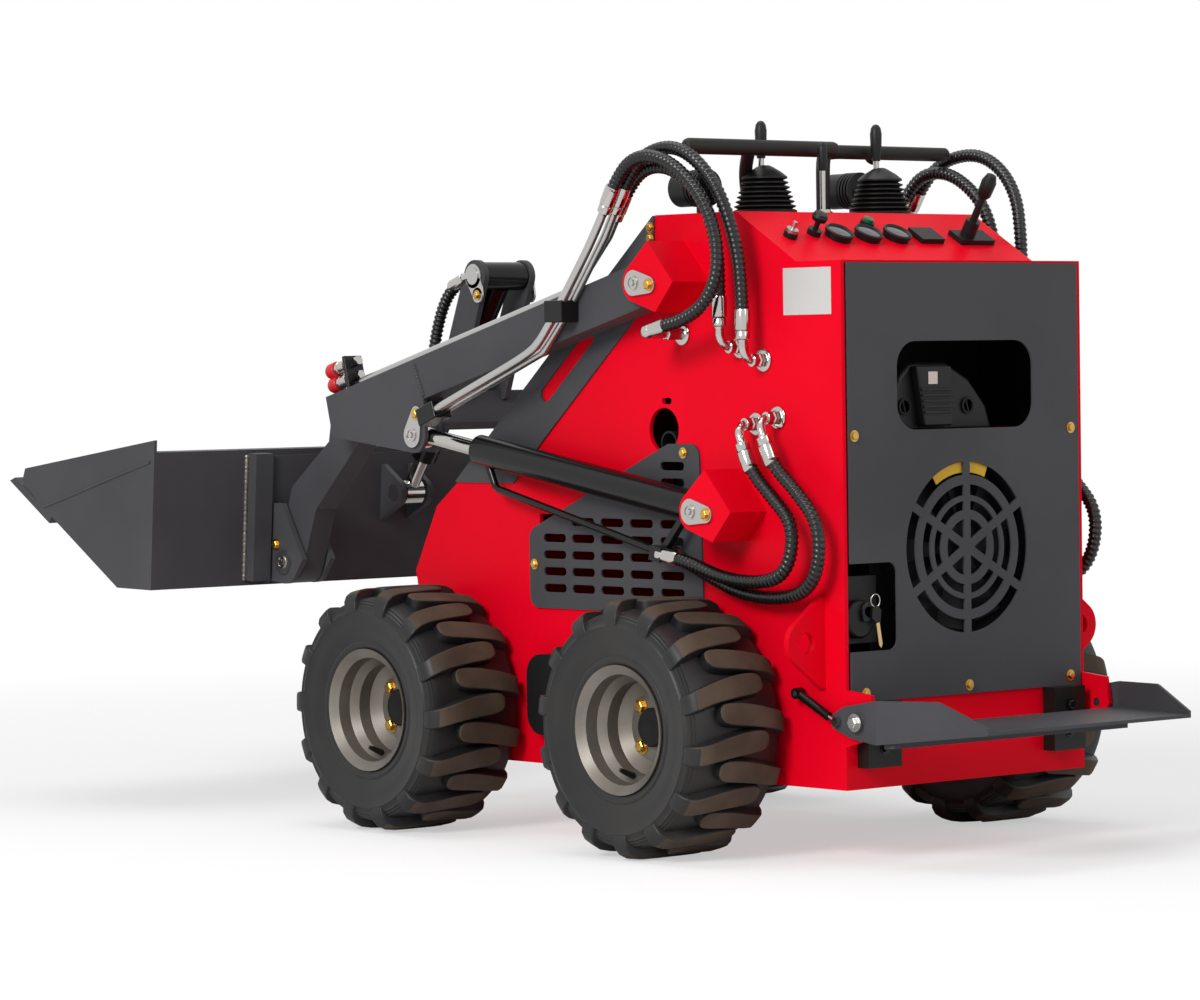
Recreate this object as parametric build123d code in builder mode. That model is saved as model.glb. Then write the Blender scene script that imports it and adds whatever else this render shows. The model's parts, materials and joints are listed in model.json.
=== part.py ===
"""Stand-on mini skid steer loader, one STEP file per named sub-part, millimetres.

The machine drives toward +X, its left is +Y, the ground is Z = 0.
Lengths along the machine are given from the middle of the wheelbase and moved into the frame by MID_X.
"""
import os
from math import atan2, cos, degrees, hypot, pi, radians, sin

from build123d import *

os.makedirs("parts", exist_ok=True)

# Driving dimensions
WHEELBASE = 724.0
TYRE_R = 230.0
TYRE_WIDTH = 216.0
TYRE_GAP = 9.0
RIM_FLANGE_R = 115.0
WALL_Y = 297.0
WALL_T = 8.0
SKIN = 4.0
PAN_T = 6.0
REAR_X = -718.0
BELLY_Z = 130.0
DECK_Z = 1136.0
PANEL_BOTTOM_Z = 282.0
DASH_DROP = 93.0
ARM_PIN_DROP = 119.0
BASE_PIN = (-422.0, 611.0)
ARM_DROP = 14.3
ARM_LENGTH = 970.0
ARM_DEPTH = 80.0
ARM_WIDTH = 50.0
ARM_GAP = 15.0
CHEEK_GAP = 10.0
CHEEK_T = 12.0
LEG_REACH = (216.0, -289.0)
TILT_PIN_RISE = 129.5
BUCKET_HALF = 590.0
BUCKET_REACH = 568.0
PLATFORM_REAR_X = -1017.0
HINGE = (-757.0, 251.0)
PIN_R = 17.0
RUN = 0.05

# Figures that follow from them
AXLE_Z = TYRE_R
HALF_BASE = WHEELBASE / 2
INNER_Y = WALL_Y - WALL_T
TYRE_Y = WALL_Y + TYRE_GAP + TYRE_WIDTH / 2
DECK_TOP = DECK_Z + SKIN
PANEL_TOP_Z = DECK_Z - DASH_DROP
ARM_HALF = ARM_DEPTH / 2
ARM_INNER_Y = WALL_Y + ARM_GAP
ARM_OUTER_Y = ARM_INNER_Y + ARM_WIDTH
CYLINDER_Y = ARM_INNER_Y + ARM_WIDTH / 2
CHEEK_Y = ARM_OUTER_Y + CHEEK_GAP + CHEEK_T
ARM_PIN = (-278.0, DECK_Z - ARM_PIN_DROP)
ARM_UX = cos(radians(ARM_DROP))
ARM_UZ = -sin(radians(ARM_DROP))


def side_plane(y):
    """Upright plane at this Y: sketches read X forward and Z up, extrusion goes toward -Y."""
    return Plane(origin=(MID_X, y, 0), x_dir=(1, 0, 0), z_dir=(0, -1, 0))


def cross_plane(x):
    """Upright plane across the machine: sketches read Y and Z, extrusion goes forward."""
    return Plane(origin=(MID_X + x, 0, 0), x_dir=(0, 1, 0), z_dir=(1, 0, 0))


def level_plane(z):
    """Level plane at this height: sketches read X and Y, extrusion goes up."""
    return Plane(origin=(MID_X, 0, z), x_dir=(1, 0, 0), z_dir=(0, 0, 1))


def arm_point(s, t):
    """Side-view point on the arm: s along it from the pivot pin, t square to it and up."""
    return (ARM_PIN[0] + s * ARM_UX - t * ARM_UZ, ARM_PIN[1] + s * ARM_UZ + t * ARM_UX)


def between(start, end, along, off=0.0):
    """Side-view point on the line start to end: along it by a length, and off to its left."""
    run = hypot(end[0] - start[0], end[1] - start[1])
    ux = (end[0] - start[0]) / run
    uz = (end[1] - start[1]) / run
    return (start[0] + along * ux - off * uz, start[1] + along * uz + off * ux)


def shifted(point, dx, dz):
    return (point[0] + dx, point[1] + dz)


def sheet(path, thickness):
    """Outline of a folded sheet: the path and its copy set off to the left by the thickness."""
    count = len(path)
    offset = []
    for k in range(count):
        normals = []
        for a, b in ((k - 1, k), (k, k + 1)):
            if a < 0 or b >= count:
                continue
            run = hypot(path[b][0] - path[a][0], path[b][1] - path[a][1])
            normals.append((-(path[b][1] - path[a][1]) / run, (path[b][0] - path[a][0]) / run))
        if len(normals) == 1:
            normals.append(normals[0])
        nx = normals[0][0] + normals[1][0]
        nz = normals[0][1] + normals[1][1]
        size = 1 + normals[0][0] * normals[1][0] + normals[0][1] * normals[1][1]
        offset.append((path[k][0] + thickness * nx / size, path[k][1] + thickness * nz / size))
    return list(path) + offset[::-1]


def spot(x, y, z):
    """Point in the frame from lengths counted from the middle of the wheelbase."""
    return (MID_X + x, y, z)


def save(node, solid):
    solid.label = node
    export_step(solid, f"parts/{node}.step")


def save_pair(node, left):
    """Write the left piece and its mirror image for the right side."""
    save(node + "_left", left)
    save(node + "_right", mirror(left, about=Plane.XZ))


LIFT_PIN = arm_point(ARM_LENGTH - 250, -99)
TILT_TOP = arm_point(ARM_LENGTH - 153, 242)
LEG_PIN = shifted(arm_point(ARM_LENGTH, 0), *LEG_REACH)
TILT_PIN = shifted(LEG_PIN, -1, TILT_PIN_RISE)
BUCKET_TIP_X = LEG_PIN[0] + BUCKET_REACH
MID_X = -(BUCKET_TIP_X + PLATFORM_REAR_X) / 2
HOOD_LOW = (345.0, 652.0)
HOOD_HIGH = (-235.0, DECK_Z)
HOOD_RUN = hypot(HOOD_LOW[0] - HOOD_HIGH[0], HOOD_LOW[1] - HOOD_HIGH[1])
HOOD_TURN = degrees(atan2(HOOD_LOW[1] - HOOD_HIGH[1], HOOD_LOW[0] - HOOD_HIGH[0]))
DASH_LOW = (-605.0, PANEL_TOP_Z)
DASH_HIGH = (-450.0, DECK_Z)

# Side walls
WALL_OUTLINE = [
    (REAR_X, BELLY_Z), (REAR_X, 205), (-770, 222), (-788, 250), (-780, 298), (REAR_X, 304),
    (REAR_X, PANEL_TOP_Z), DASH_LOW, DASH_HIGH, HOOD_HIGH, HOOD_LOW,
    (410, 606), (478, 481), (440, 300), (300, BELLY_Z),
]
GRILLE_OUTLINE = [(129, 421), (129, 565), (-266, 728), (-349, 728), (-357, 421)]
EXHAUST_AT = (-252.0, 753.0)
EXHAUST_R = 40.0
STRUT_BASE = (-612.0, 295.0)
STRUT_LUG = (-707.0, 250.0)

with BuildPart() as side_wall:
    with BuildSketch(side_plane(WALL_Y)):
        Polygon(*WALL_OUTLINE, align=None)
        with Locations(EXHAUST_AT):
            Circle(EXHAUST_R, mode=Mode.SUBTRACT)
        with Locations(shifted(EXHAUST_AT, -8, 52)):
            SlotOverall(26, 12, mode=Mode.SUBTRACT)
        with Locations(ARM_PIN, BASE_PIN):
            Circle(PIN_R, mode=Mode.SUBTRACT)
        with Locations(HINGE):
            Circle(8, mode=Mode.SUBTRACT)
        with Locations((-108, 521)):
            Rectangle(420, 150, mode=Mode.SUBTRACT)
        with Locations((-277, 672)):
            Rectangle(80, 56, mode=Mode.SUBTRACT)
    extrude(amount=WALL_T)
save_pair("side_wall", side_wall.part)

# Belly pan: rear cross plate, floor and front bulkhead in one folded sheet
PAN_PATH = [
    (REAR_X, PANEL_BOTTOM_Z), (REAR_X, BELLY_Z), (300, BELLY_Z), (440, 300), (478, 481), (410, 606), HOOD_LOW,
]
with BuildPart() as belly_pan:
    with BuildSketch(side_plane(INNER_Y)):
        Polygon(*sheet(PAN_PATH, PAN_T), align=None)
    extrude(amount=2 * INNER_Y)
save("belly_pan", belly_pan.part)

# Dash and top deck
DECK_PATH = [(REAR_X, PANEL_TOP_Z), DASH_LOW, DASH_HIGH, HOOD_HIGH]
with BuildPart() as dash_deck:
    with BuildSketch(side_plane(WALL_Y)):
        Polygon(*sheet(DECK_PATH, SKIN), align=None)
    extrude(amount=2 * WALL_Y)
save("dash_deck", dash_deck.part)

# Hood: sloping cover with slotted flanges lapped over both walls
HOOD_LAP = 104.0
FLANGE_OUTLINE = [
    HOOD_LOW, HOOD_HIGH, shifted(HOOD_HIGH, 0, -133), between(HOOD_HIGH, HOOD_LOW, 155, -HOOD_LAP),
    between(HOOD_HIGH, HOOD_LOW, HOOD_RUN - 252, -HOOD_LAP), shifted(HOOD_LOW, -170, 0),
]
with BuildPart() as hood:
    with BuildSketch(side_plane(WALL_Y + SKIN)):
        Polygon(*sheet([HOOD_HIGH, HOOD_LOW], SKIN), align=None)
    extrude(amount=2 * (WALL_Y + SKIN))
    for y in (WALL_Y + SKIN, -WALL_Y):
        with BuildSketch(side_plane(y)):
            Polygon(*FLANGE_OUTLINE, align=None)
            with Locations(between(HOOD_HIGH, HOOD_LOW, HOOD_RUN / 2 - 18, -45)):
                SlotOverall(190, 28, rotation=HOOD_TURN, mode=Mode.SUBTRACT)
        extrude(amount=SKIN)
save("hood", hood.part)

# Rear panel with window, fan grille and the notch for the battery switch
FAN_Z = 541.0
with BuildPart() as rear_panel:
    with BuildSketch(cross_plane(REAR_X - SKIN)) as panel_face:
        with Locations((0, (PANEL_BOTTOM_Z + PANEL_TOP_Z) / 2)):
            Rectangle(2 * (INNER_Y - 3), PANEL_TOP_Z - PANEL_BOTTOM_Z)
        with Locations((0, PANEL_TOP_Z - 214.5)):
            RectangleRounded(338, 155, 45, mode=Mode.SUBTRACT)
        with Locations((240, 445.5)):
            RectangleRounded(130, 153, 20, mode=Mode.SUBTRACT)
    extrude(amount=SKIN)
    with BuildSketch(cross_plane(REAR_X - SKIN)) as fan_slots:
        with Locations((0, FAN_Z)):
            for outer, inner in ((151, 128), (111, 92), (82, 66), (50, 18)):
                Circle(outer)
                Circle(inner, mode=Mode.SUBTRACT)
            for turn in (0, 60, 120):
                Rectangle(16, 320, rotation=turn, mode=Mode.SUBTRACT)
    extrude(amount=SKIN, mode=Mode.SUBTRACT)
save("rear_panel", rear_panel.part)

# Side grilles
SLOT_COLUMNS = (55, -26, -108, -190, -274)
SLOT_ROWS = (459, 490, 521, 552)
SLOT_SPOTS = [(x, z) for x in SLOT_COLUMNS for z in SLOT_ROWS]
SLOT_SPOTS += [(x, 583) for x in SLOT_COLUMNS[1:]] + [(-277, 658), (-277, 688)]
with BuildPart() as side_grilles:
    with BuildSketch(side_plane(WALL_Y + SKIN)) as grille_face:
        Polygon(*GRILLE_OUTLINE, align=None)
        fillet(grille_face.vertices(), 24)
        with Locations(*SLOT_SPOTS):
            SlotOverall(64, 15.5, mode=Mode.SUBTRACT)
    extrude(amount=SKIN)
    mirror(about=Plane.XZ)
save("side_grilles", side_grilles.part)

# Boxed cheeks that carry the arm pins and the cylinder base pins
CHEEK_TOP = (-34.0, 74.0)
CHEEK_REAR = (-101.0, 0.0)
CHEEK_LOW = (-53.0, -53.0)
CHEEK_NOSE_R = 34.0
with BuildPart() as cheek_boxes:
    for pin in (ARM_PIN, BASE_PIN):
        corners = [shifted(pin, *corner) for corner in (CHEEK_TOP, CHEEK_REAR, CHEEK_LOW)]
        with BuildSketch(side_plane(CHEEK_Y)) as cheek_face:
            Polygon(*corners, align=None)
            with Locations(pin):
                Circle(CHEEK_NOSE_R)
            make_hull()
            with Locations(pin):
                Circle(PIN_R, mode=Mode.SUBTRACT)
        extrude(amount=CHEEK_T)
        with BuildSketch(side_plane(CHEEK_Y - CHEEK_T)):
            Polygon(*sheet(corners, WALL_T), align=None)
        extrude(amount=CHEEK_Y - CHEEK_T - WALL_Y)
    mirror(about=Plane.XZ)
save("cheek_boxes", cheek_boxes.part)

# Pins fixed in the chassis: arm pivots, cylinder bases, platform bolts and strut pins
FLANGE_Y = WALL_Y + 3
FLANGE_T = 6.0
STRUT_Y = WALL_Y + 14
with BuildPart() as pivot_pins:
    for pin in (ARM_PIN, BASE_PIN):
        with BuildSketch(side_plane(CHEEK_Y)):
            with Locations(pin):
                Circle(PIN_R)
        extrude(amount=CHEEK_Y - INNER_Y)
        with BuildSketch(side_plane(CHEEK_Y + 6)) as keeper_face:
            with Locations(pin):
                Circle(23)
            with Locations(shifted(pin, -42, -4)):
                Circle(15)
            make_hull()
        extrude(amount=6)
    with BuildSketch(side_plane(FLANGE_Y + FLANGE_T)):
        with Locations(HINGE):
            Circle(8)
    extrude(amount=FLANGE_Y + FLANGE_T - INNER_Y)
    with BuildSketch(side_plane(FLANGE_Y + FLANGE_T + 8)):
        with Locations(HINGE):
            Circle(13)
    extrude(amount=8)
    mirror(about=Plane.XZ)
    with BuildSketch(side_plane(STRUT_Y + 8)):
        with Locations(STRUT_BASE):
            Circle(5)
    extrude(amount=STRUT_Y + 8 - WALL_Y)
save("pivot_pins", pivot_pins.part)

# Drive covers on the walls between the wheels
with BuildPart() as drive_covers:
    with BuildSketch(side_plane(WALL_Y + 34)):
        with Locations((0, 262)):
            RectangleRounded(214, 150, 40)
    extrude(amount=34)
    mirror(about=Plane.XZ)
save("drive_covers", drive_covers.part)

# Tie-down rings welded square to the walls
RING_X = -662.0
RING_Z = 385.0
RING_Y = WALL_Y + 45
RING_BORE_R = 19.0
with BuildPart() as tie_rings:
    with BuildSketch(cross_plane(RING_X - 6)) as ring_face:
        with Locations((WALL_Y + 5, RING_Z)):
            Rectangle(10, 158)
        with Locations((RING_Y, RING_Z)):
            Circle(42)
        make_hull()
        with Locations((RING_Y, RING_Z)):
            Circle(RING_BORE_R, mode=Mode.SUBTRACT)
    extrude(amount=12)
    mirror(about=Plane.XZ)
save("tie_rings", tie_rings.part)

# Wheel motors: housing on the wall and a shaft for each wheel
MOTOR_END_Y = TYRE_Y - 52
SHAFT_R = 20.0
SHAFT_END_Y = TYRE_Y + 21
AXLES = [(HALF_BASE, AXLE_Z), (-HALF_BASE, AXLE_Z)]
with BuildPart() as wheel_motors:
    with BuildSketch(side_plane(MOTOR_END_Y)):
        with Locations(*AXLES):
            Circle(58)
    extrude(amount=MOTOR_END_Y - WALL_Y)
    with BuildSketch(side_plane(SHAFT_END_Y)):
        with Locations(*AXLES):
            Circle(SHAFT_R)
    extrude(amount=SHAFT_END_Y - MOTOR_END_Y)
    mirror(about=Plane.XZ)
save("wheel_motors", wheel_motors.part)

# Engine on two rails, its air cleaner behind the window, and the cooling ring behind the fan grille
ENGINE_TOP = DECK_Z - 391
with BuildPart() as engine:
    with BuildSketch(side_plane(190)):
        Polygon((-668, 300), (-300, 300), (-300, ENGINE_TOP - 55), (-360, ENGINE_TOP), (-668, ENGINE_TOP), align=None)
    extrude(amount=380)
    with BuildSketch(level_plane(BELLY_Z + PAN_T)):
        with Locations((-484, 140), (-484, -140)):
            Rectangle(340, 60)
    extrude(amount=300 - BELLY_Z - PAN_T)
save("engine", engine.part)

with BuildPart() as air_cleaner:
    with BuildSketch(side_plane(150)):
        Polygon(
            (-690, ENGINE_TOP), (-470, ENGINE_TOP), (-490, ENGINE_TOP + 145), (-670, ENGINE_TOP + 145), align=None,
        )
    extrude(amount=250)
save("air_cleaner", air_cleaner.part)

with BuildPart() as fan_ring:
    with BuildSketch(cross_plane(REAR_X)):
        with Locations((0, FAN_Z)):
            Circle(165)
            Circle(154, mode=Mode.SUBTRACT)
    extrude(amount=-668 - REAR_X)
save("fan_ring", fan_ring.part)

with BuildPart() as exhaust:
    with BuildSketch(side_plane(240)):
        with Locations((-256, 640)):
            Rectangle(88, 200)
    extrude(amount=200)
    with BuildSketch(side_plane(286)):
        with Locations(shifted(EXHAUST_AT, 0, -24)):
            Circle(22)
            Circle(18, mode=Mode.SUBTRACT)
    extrude(amount=60)
save("exhaust", exhaust.part)

with BuildPart() as battery_switch:
    with BuildSketch(cross_plane(REAR_X)):
        with Locations((INNER_Y - 48, 440)):
            Rectangle(96, 120)
    extrude(amount=50)
save("battery_switch", battery_switch.part)

# Buffers on the rear cross plate that stop the platform
with BuildPart() as platform_stops:
    with BuildSketch(cross_plane(REAR_X)):
        with Locations((231, 225), (-231, 225)):
            Rectangle(80, 114)
    extrude(amount=-28)
save("platform_stops", platform_stops.part)

# Hand bars on their posts
BAR_Z = DECK_TOP + 117
BAR_R = 14.0
FRONT_BAR_X = -322.0
REAR_BAR_X = -385.0
with BuildPart() as hand_bars:
    for x, y_from, y_to, posts in ((REAR_BAR_X, -14, 358, (208, 40)), (FRONT_BAR_X, -358, -30, (-60, -210))):
        with BuildSketch(side_plane(y_to)):
            with Locations((x, BAR_Z)):
                Circle(BAR_R)
        extrude(amount=y_to - y_from)
        with BuildSketch(level_plane(DECK_Z)):
            with Locations(*[(x, y) for y in posts]):
                Circle(11)
        extrude(amount=BAR_Z - DECK_Z)
        with BuildSketch(level_plane(DECK_Z)):
            with Locations(*[(x, y) for y in posts]):
                Circle(14)
        extrude(amount=12)
with BuildPart() as hand_bars_on_deck:
    add(hand_bars.part)
    add(dash_deck.part, mode=Mode.SUBTRACT)
save("hand_bars", hand_bars_on_deck.part)

# Bellows boots with the two drive levers, and the small levers beside them
BOOT_X = -362.0
BOOT_Y = 144.0
LEVER_X = -353.0
BOOT_STEPS = [(54, 0), (54, 8), (44, 20), (48, 26), (37, 40), (41, 46), (30, 60), (34, 66), (20, 84), (0, 84)]
with BuildPart() as lever_boots:
    with BuildSketch(Plane(origin=spot(BOOT_X, BOOT_Y, DECK_TOP), x_dir=(1, 0, 0), z_dir=(0, -1, 0))):
        Polygon((0, 0), *BOOT_STEPS, align=None)
    revolve(axis=Axis(spot(BOOT_X, BOOT_Y, 0), (0, 0, 1)))
    mirror(about=Plane.XZ)
save("lever_boots", lever_boots.part)

with BuildPart() as drive_levers:
    with BuildSketch(level_plane(DECK_TOP + 84)):
        with Locations((LEVER_X, BOOT_Y), (LEVER_X, -BOOT_Y)):
            Circle(6)
    extrude(amount=48)
    with BuildSketch(level_plane(DECK_TOP + 122)):
        with Locations((LEVER_X, BOOT_Y), (LEVER_X, -BOOT_Y)):
            Circle(11)
    extrude(amount=46)
save("drive_levers", drive_levers.part)

with BuildPart() as centre_lever:
    with BuildSketch(level_plane(DECK_TOP)):
        with Locations((-425, 60)):
            Circle(14)
    extrude(amount=6)
    with BuildSketch(level_plane(DECK_TOP)):
        with Locations((-425, 60)):
            Circle(5)
    extrude(amount=100)
save("centre_lever", centre_lever.part)

# Instruments on the sloping dash
DASH_RUN = hypot(DASH_HIGH[0] - DASH_LOW[0], DASH_HIGH[1] - DASH_LOW[1])
DASH_UP = ((DASH_HIGH[0] - DASH_LOW[0]) / DASH_RUN, (DASH_HIGH[1] - DASH_LOW[1]) / DASH_RUN)
dash_middle = between(DASH_LOW, DASH_HIGH, DASH_RUN / 2, SKIN)
dash_plane = Plane(
    origin=spot(dash_middle[0], 0, dash_middle[1]),
    x_dir=(0, 1, 0),
    z_dir=(-DASH_UP[1], 0, DASH_UP[0]),
)
with BuildPart() as dash_instruments:
    with BuildSketch(dash_plane):
        with Locations((124, 0), (52, 0), (-19, 0)):
            Circle(25)
        with Locations((-94, 0)):
            Rectangle(56, 44)
        with Locations((19, -42), (240, 0), (175, -10)):
            Circle(13)
        with Locations((-205, 6)):
            Rectangle(84, 40)
    extrude(amount=10)
    with BuildSketch(dash_plane):
        with Locations((-192, 6)):
            Circle(7)
    extrude(amount=95)
    with BuildSketch(dash_plane):
        with Locations((-192, 6)):
            Circle(14)
    extrude(amount=40)
save("dash_instruments", dash_instruments.part)

# Work lamps on brackets at the front of the deck
LAMP_Z = DECK_TOP + 50
LAMP_Y = 191.0
with BuildPart() as work_lamps:
    with BuildSketch(cross_plane(-262)):
        with Locations((LAMP_Y, LAMP_Z), (-LAMP_Y, LAMP_Z)):
            Circle(24)
    extrude(amount=30)
    with BuildSketch(cross_plane(-232)):
        with Locations((LAMP_Y, LAMP_Z), (-LAMP_Y, LAMP_Z)):
            Circle(33)
    extrude(amount=44)
    with BuildSketch(cross_plane(-254)):
        with Locations((LAMP_Y, DECK_TOP + 25), (-LAMP_Y, DECK_TOP + 25)):
            Rectangle(34, 50)
    extrude(amount=6)
save("work_lamps", work_lamps.part)

# Hydraulic fittings on the walls: the upper pair points up, the lower pair points down
HOSE_Y = WALL_Y + 51
HOSE_R = 11.0
UPPER_FITTINGS = [(-461.0, 900.0), (-521.0, 876.0)]
LOWER_FITTINGS = [(-500.0, 764.0), (-556.0, 775.0)]
FITTING_RISE = 52.0
with BuildPart() as wall_fittings:
    with BuildSketch(side_plane(HOSE_Y + 14)):
        with Locations(*UPPER_FITTINGS, *LOWER_FITTINGS):
            Rectangle(28, 28)
    extrude(amount=28)
    with BuildSketch(side_plane(HOSE_Y - 14)):
        with Locations(*UPPER_FITTINGS, *LOWER_FITTINGS):
            Circle(10)
    extrude(amount=HOSE_Y - 14 - WALL_Y)
    with BuildSketch(side_plane(WALL_Y + 6)):
        with Locations(*UPPER_FITTINGS, *LOWER_FITTINGS):
            Circle(20)
    extrude(amount=6)
    for fittings, rise in ((UPPER_FITTINGS, FITTING_RISE), (LOWER_FITTINGS, -FITTING_RISE)):
        for x, z in fittings:
            with BuildSketch(level_plane(z)):
                with Locations((x, HOSE_Y)):
                    Circle(HOSE_R)
            extrude(amount=rise)
    mirror(about=Plane.XZ)
save("wall_fittings", wall_fittings.part)

# Steel pipes on each arm, rising at the rear to the hose ends
PIPE_R = 8.0
PIPE_Y = ARM_OUTER_Y + PIPE_R
TOP_PIPE_Y = CYLINDER_Y + 13
TOP_PIPE = [
    arm_point(ARM_LENGTH - 90, ARM_HALF + PIPE_R), arm_point(215, ARM_HALF + PIPE_R),
    shifted(ARM_PIN, 110, 87), shifted(ARM_PIN, 82, 129),
]
LOW_PIPE_STEPS = [(567, -226), (276, -120), (218, -61), (169, -2), (97, 87), (63, 141)]
LOW_PIPE = [shifted(ARM_PIN, dx, dz) for dx, dz in LOW_PIPE_STEPS]
with BuildPart() as arm_pipes:
    with BuildLine() as top_line:
        FilletPolyline(
            spot(TOP_PIPE[0][0], CYLINDER_Y, TOP_PIPE[0][1]),
            spot(TOP_PIPE[1][0], CYLINDER_Y, TOP_PIPE[1][1]),
            spot(TOP_PIPE[2][0], TOP_PIPE_Y, TOP_PIPE[2][1]),
            spot(TOP_PIPE[3][0], TOP_PIPE_Y, TOP_PIPE[3][1]),
            radius=40,
        )
    with BuildSketch(Plane(origin=top_line.line @ 0, z_dir=top_line.line % 0)):
        Circle(PIPE_R)
    sweep(path=top_line.line)
    with BuildLine() as low_line:
        FilletPolyline(*[spot(x, PIPE_Y, z) for x, z in LOW_PIPE], radius=30)
    with BuildSketch(Plane(origin=low_line.line @ 0, z_dir=low_line.line % 0)):
        Circle(PIPE_R)
    sweep(path=low_line.line)
    mirror(about=Plane.XZ)
save("arm_pipes", arm_pipes.part)

# Hoses over the deck, from the arm pipes to the upper wall fittings
HOSE_STARTS = []
for pipe, y in ((TOP_PIPE, TOP_PIPE_Y), (LOW_PIPE, PIPE_Y)):
    reach = hypot(pipe[-1][0] - pipe[-2][0], pipe[-1][1] - pipe[-2][1])
    straight = between(pipe[-2], pipe[-1], reach + 62)
    HOSE_STARTS.append((spot(pipe[-1][0], y, pipe[-1][1]), spot(straight[0], y, straight[1])))
HOSE_ARCHES = [
    [(-330, 350, 1216), (-446, 349, 1160), (-461, HOSE_Y, 1040)],
    [(-390, 382, 1252), (-508, 372, 1170), (-521, HOSE_Y, 1030)],
]
with BuildPart() as arm_hoses:
    for start, arch, fitting in zip(HOSE_STARTS, HOSE_ARCHES, UPPER_FITTINGS):
        with BuildLine() as hose_line:
            FilletPolyline(
                *start,
                *[spot(*point) for point in arch],
                spot(fitting[0], HOSE_Y, fitting[1] + FITTING_RISE),
                radius=40,
            )
        with BuildSketch(Plane(origin=hose_line.line @ 0, z_dir=hose_line.line % 0)):
            Circle(HOSE_R)
        sweep(path=hose_line.line)
save_pair("arm_hoses", arm_hoses.part)

# Lift cylinders: barrel with its steel tube, and rod
BARREL_R = 28.0
BARREL_END = 657.0
ROD_R = 15.0
LIFT_LENGTH = hypot(LIFT_PIN[0] - BASE_PIN[0], LIFT_PIN[1] - BASE_PIN[1])
LIFT_AXIS = ((LIFT_PIN[0] - BASE_PIN[0]) / LIFT_LENGTH, 0, (LIFT_PIN[1] - BASE_PIN[1]) / LIFT_LENGTH)


def lift_plane(along):
    """Plane square to the left lift cylinder, this far from its base pin."""
    at = between(BASE_PIN, LIFT_PIN, along)
    return Plane(origin=spot(at[0], CYLINDER_Y, at[1]), x_dir=(0, 1, 0), z_dir=LIFT_AXIS)


TUBE_R = 7.0
TUBE_DROP = -64.0
TUBE_END_DROP = -98.0
BLOCK_FROM = 100.0
BLOCK_TO = 130.0
TUBE_LINE = [
    between(BASE_PIN, LIFT_PIN, 628, -BARREL_R + 4),
    between(BASE_PIN, LIFT_PIN, 600, TUBE_DROP),
    between(BASE_PIN, LIFT_PIN, BLOCK_TO - 5, TUBE_END_DROP),
]
with BuildPart() as lift_barrel:
    with BuildSketch(lift_plane(20)):
        Circle(BARREL_R)
    extrude(amount=BARREL_END - 20)
    with BuildSketch(side_plane(CYLINDER_Y + 20)):
        with Locations(BASE_PIN):
            Circle(32)
    extrude(amount=40)
    with BuildLine() as tube_line:
        FilletPolyline(*[spot(x, CYLINDER_Y, z) for x, z in TUBE_LINE], radius=20)
    with BuildSketch(Plane(origin=tube_line.line @ 0, z_dir=tube_line.line % 0)):
        Circle(TUBE_R)
    sweep(path=tube_line.line)
    with BuildSketch(side_plane(CYLINDER_Y + 23)):
        Polygon(
            between(BASE_PIN, LIFT_PIN, BLOCK_FROM, TUBE_END_DROP - 13),
            between(BASE_PIN, LIFT_PIN, BLOCK_TO, TUBE_END_DROP - 13),
            between(BASE_PIN, LIFT_PIN, BLOCK_TO, TUBE_END_DROP + 13),
            between(BASE_PIN, LIFT_PIN, BLOCK_FROM, TUBE_END_DROP + 13), align=None,
        )
    extrude(amount=46)
    with BuildSketch(side_plane(CYLINDER_Y + TUBE_R)):
        Polygon(
            between(BASE_PIN, LIFT_PIN, 60, -20), between(BASE_PIN, LIFT_PIN, 74, -20),
            between(BASE_PIN, LIFT_PIN, 126, -98), between(BASE_PIN, LIFT_PIN, 112, -98), align=None,
        )
    extrude(amount=2 * TUBE_R)
    with BuildSketch(side_plane(CYLINDER_Y + 20)):
        with Locations(BASE_PIN):
            Circle(PIN_R + RUN)
    extrude(amount=40, mode=Mode.SUBTRACT)
    with BuildSketch(lift_plane(110)):
        Circle(ROD_R + RUN)
    extrude(amount=BARREL_END - 110, mode=Mode.SUBTRACT)
save_pair("lift_barrel", lift_barrel.part)

ROD_EYE_R = 26.0
with BuildPart() as lift_rod:
    with BuildSketch(lift_plane(250)):
        Circle(ROD_R)
    extrude(amount=LIFT_LENGTH - 250)
    with BuildSketch(side_plane(CYLINDER_Y + 14)):
        with Locations(LIFT_PIN):
            Circle(ROD_EYE_R)
    extrude(amount=28)
    with BuildSketch(side_plane(CYLINDER_Y + 14)):
        with Locations(LIFT_PIN):
            Circle(PIN_R)
    extrude(amount=28, mode=Mode.SUBTRACT)
save_pair("lift_rod", lift_rod.part)

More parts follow.
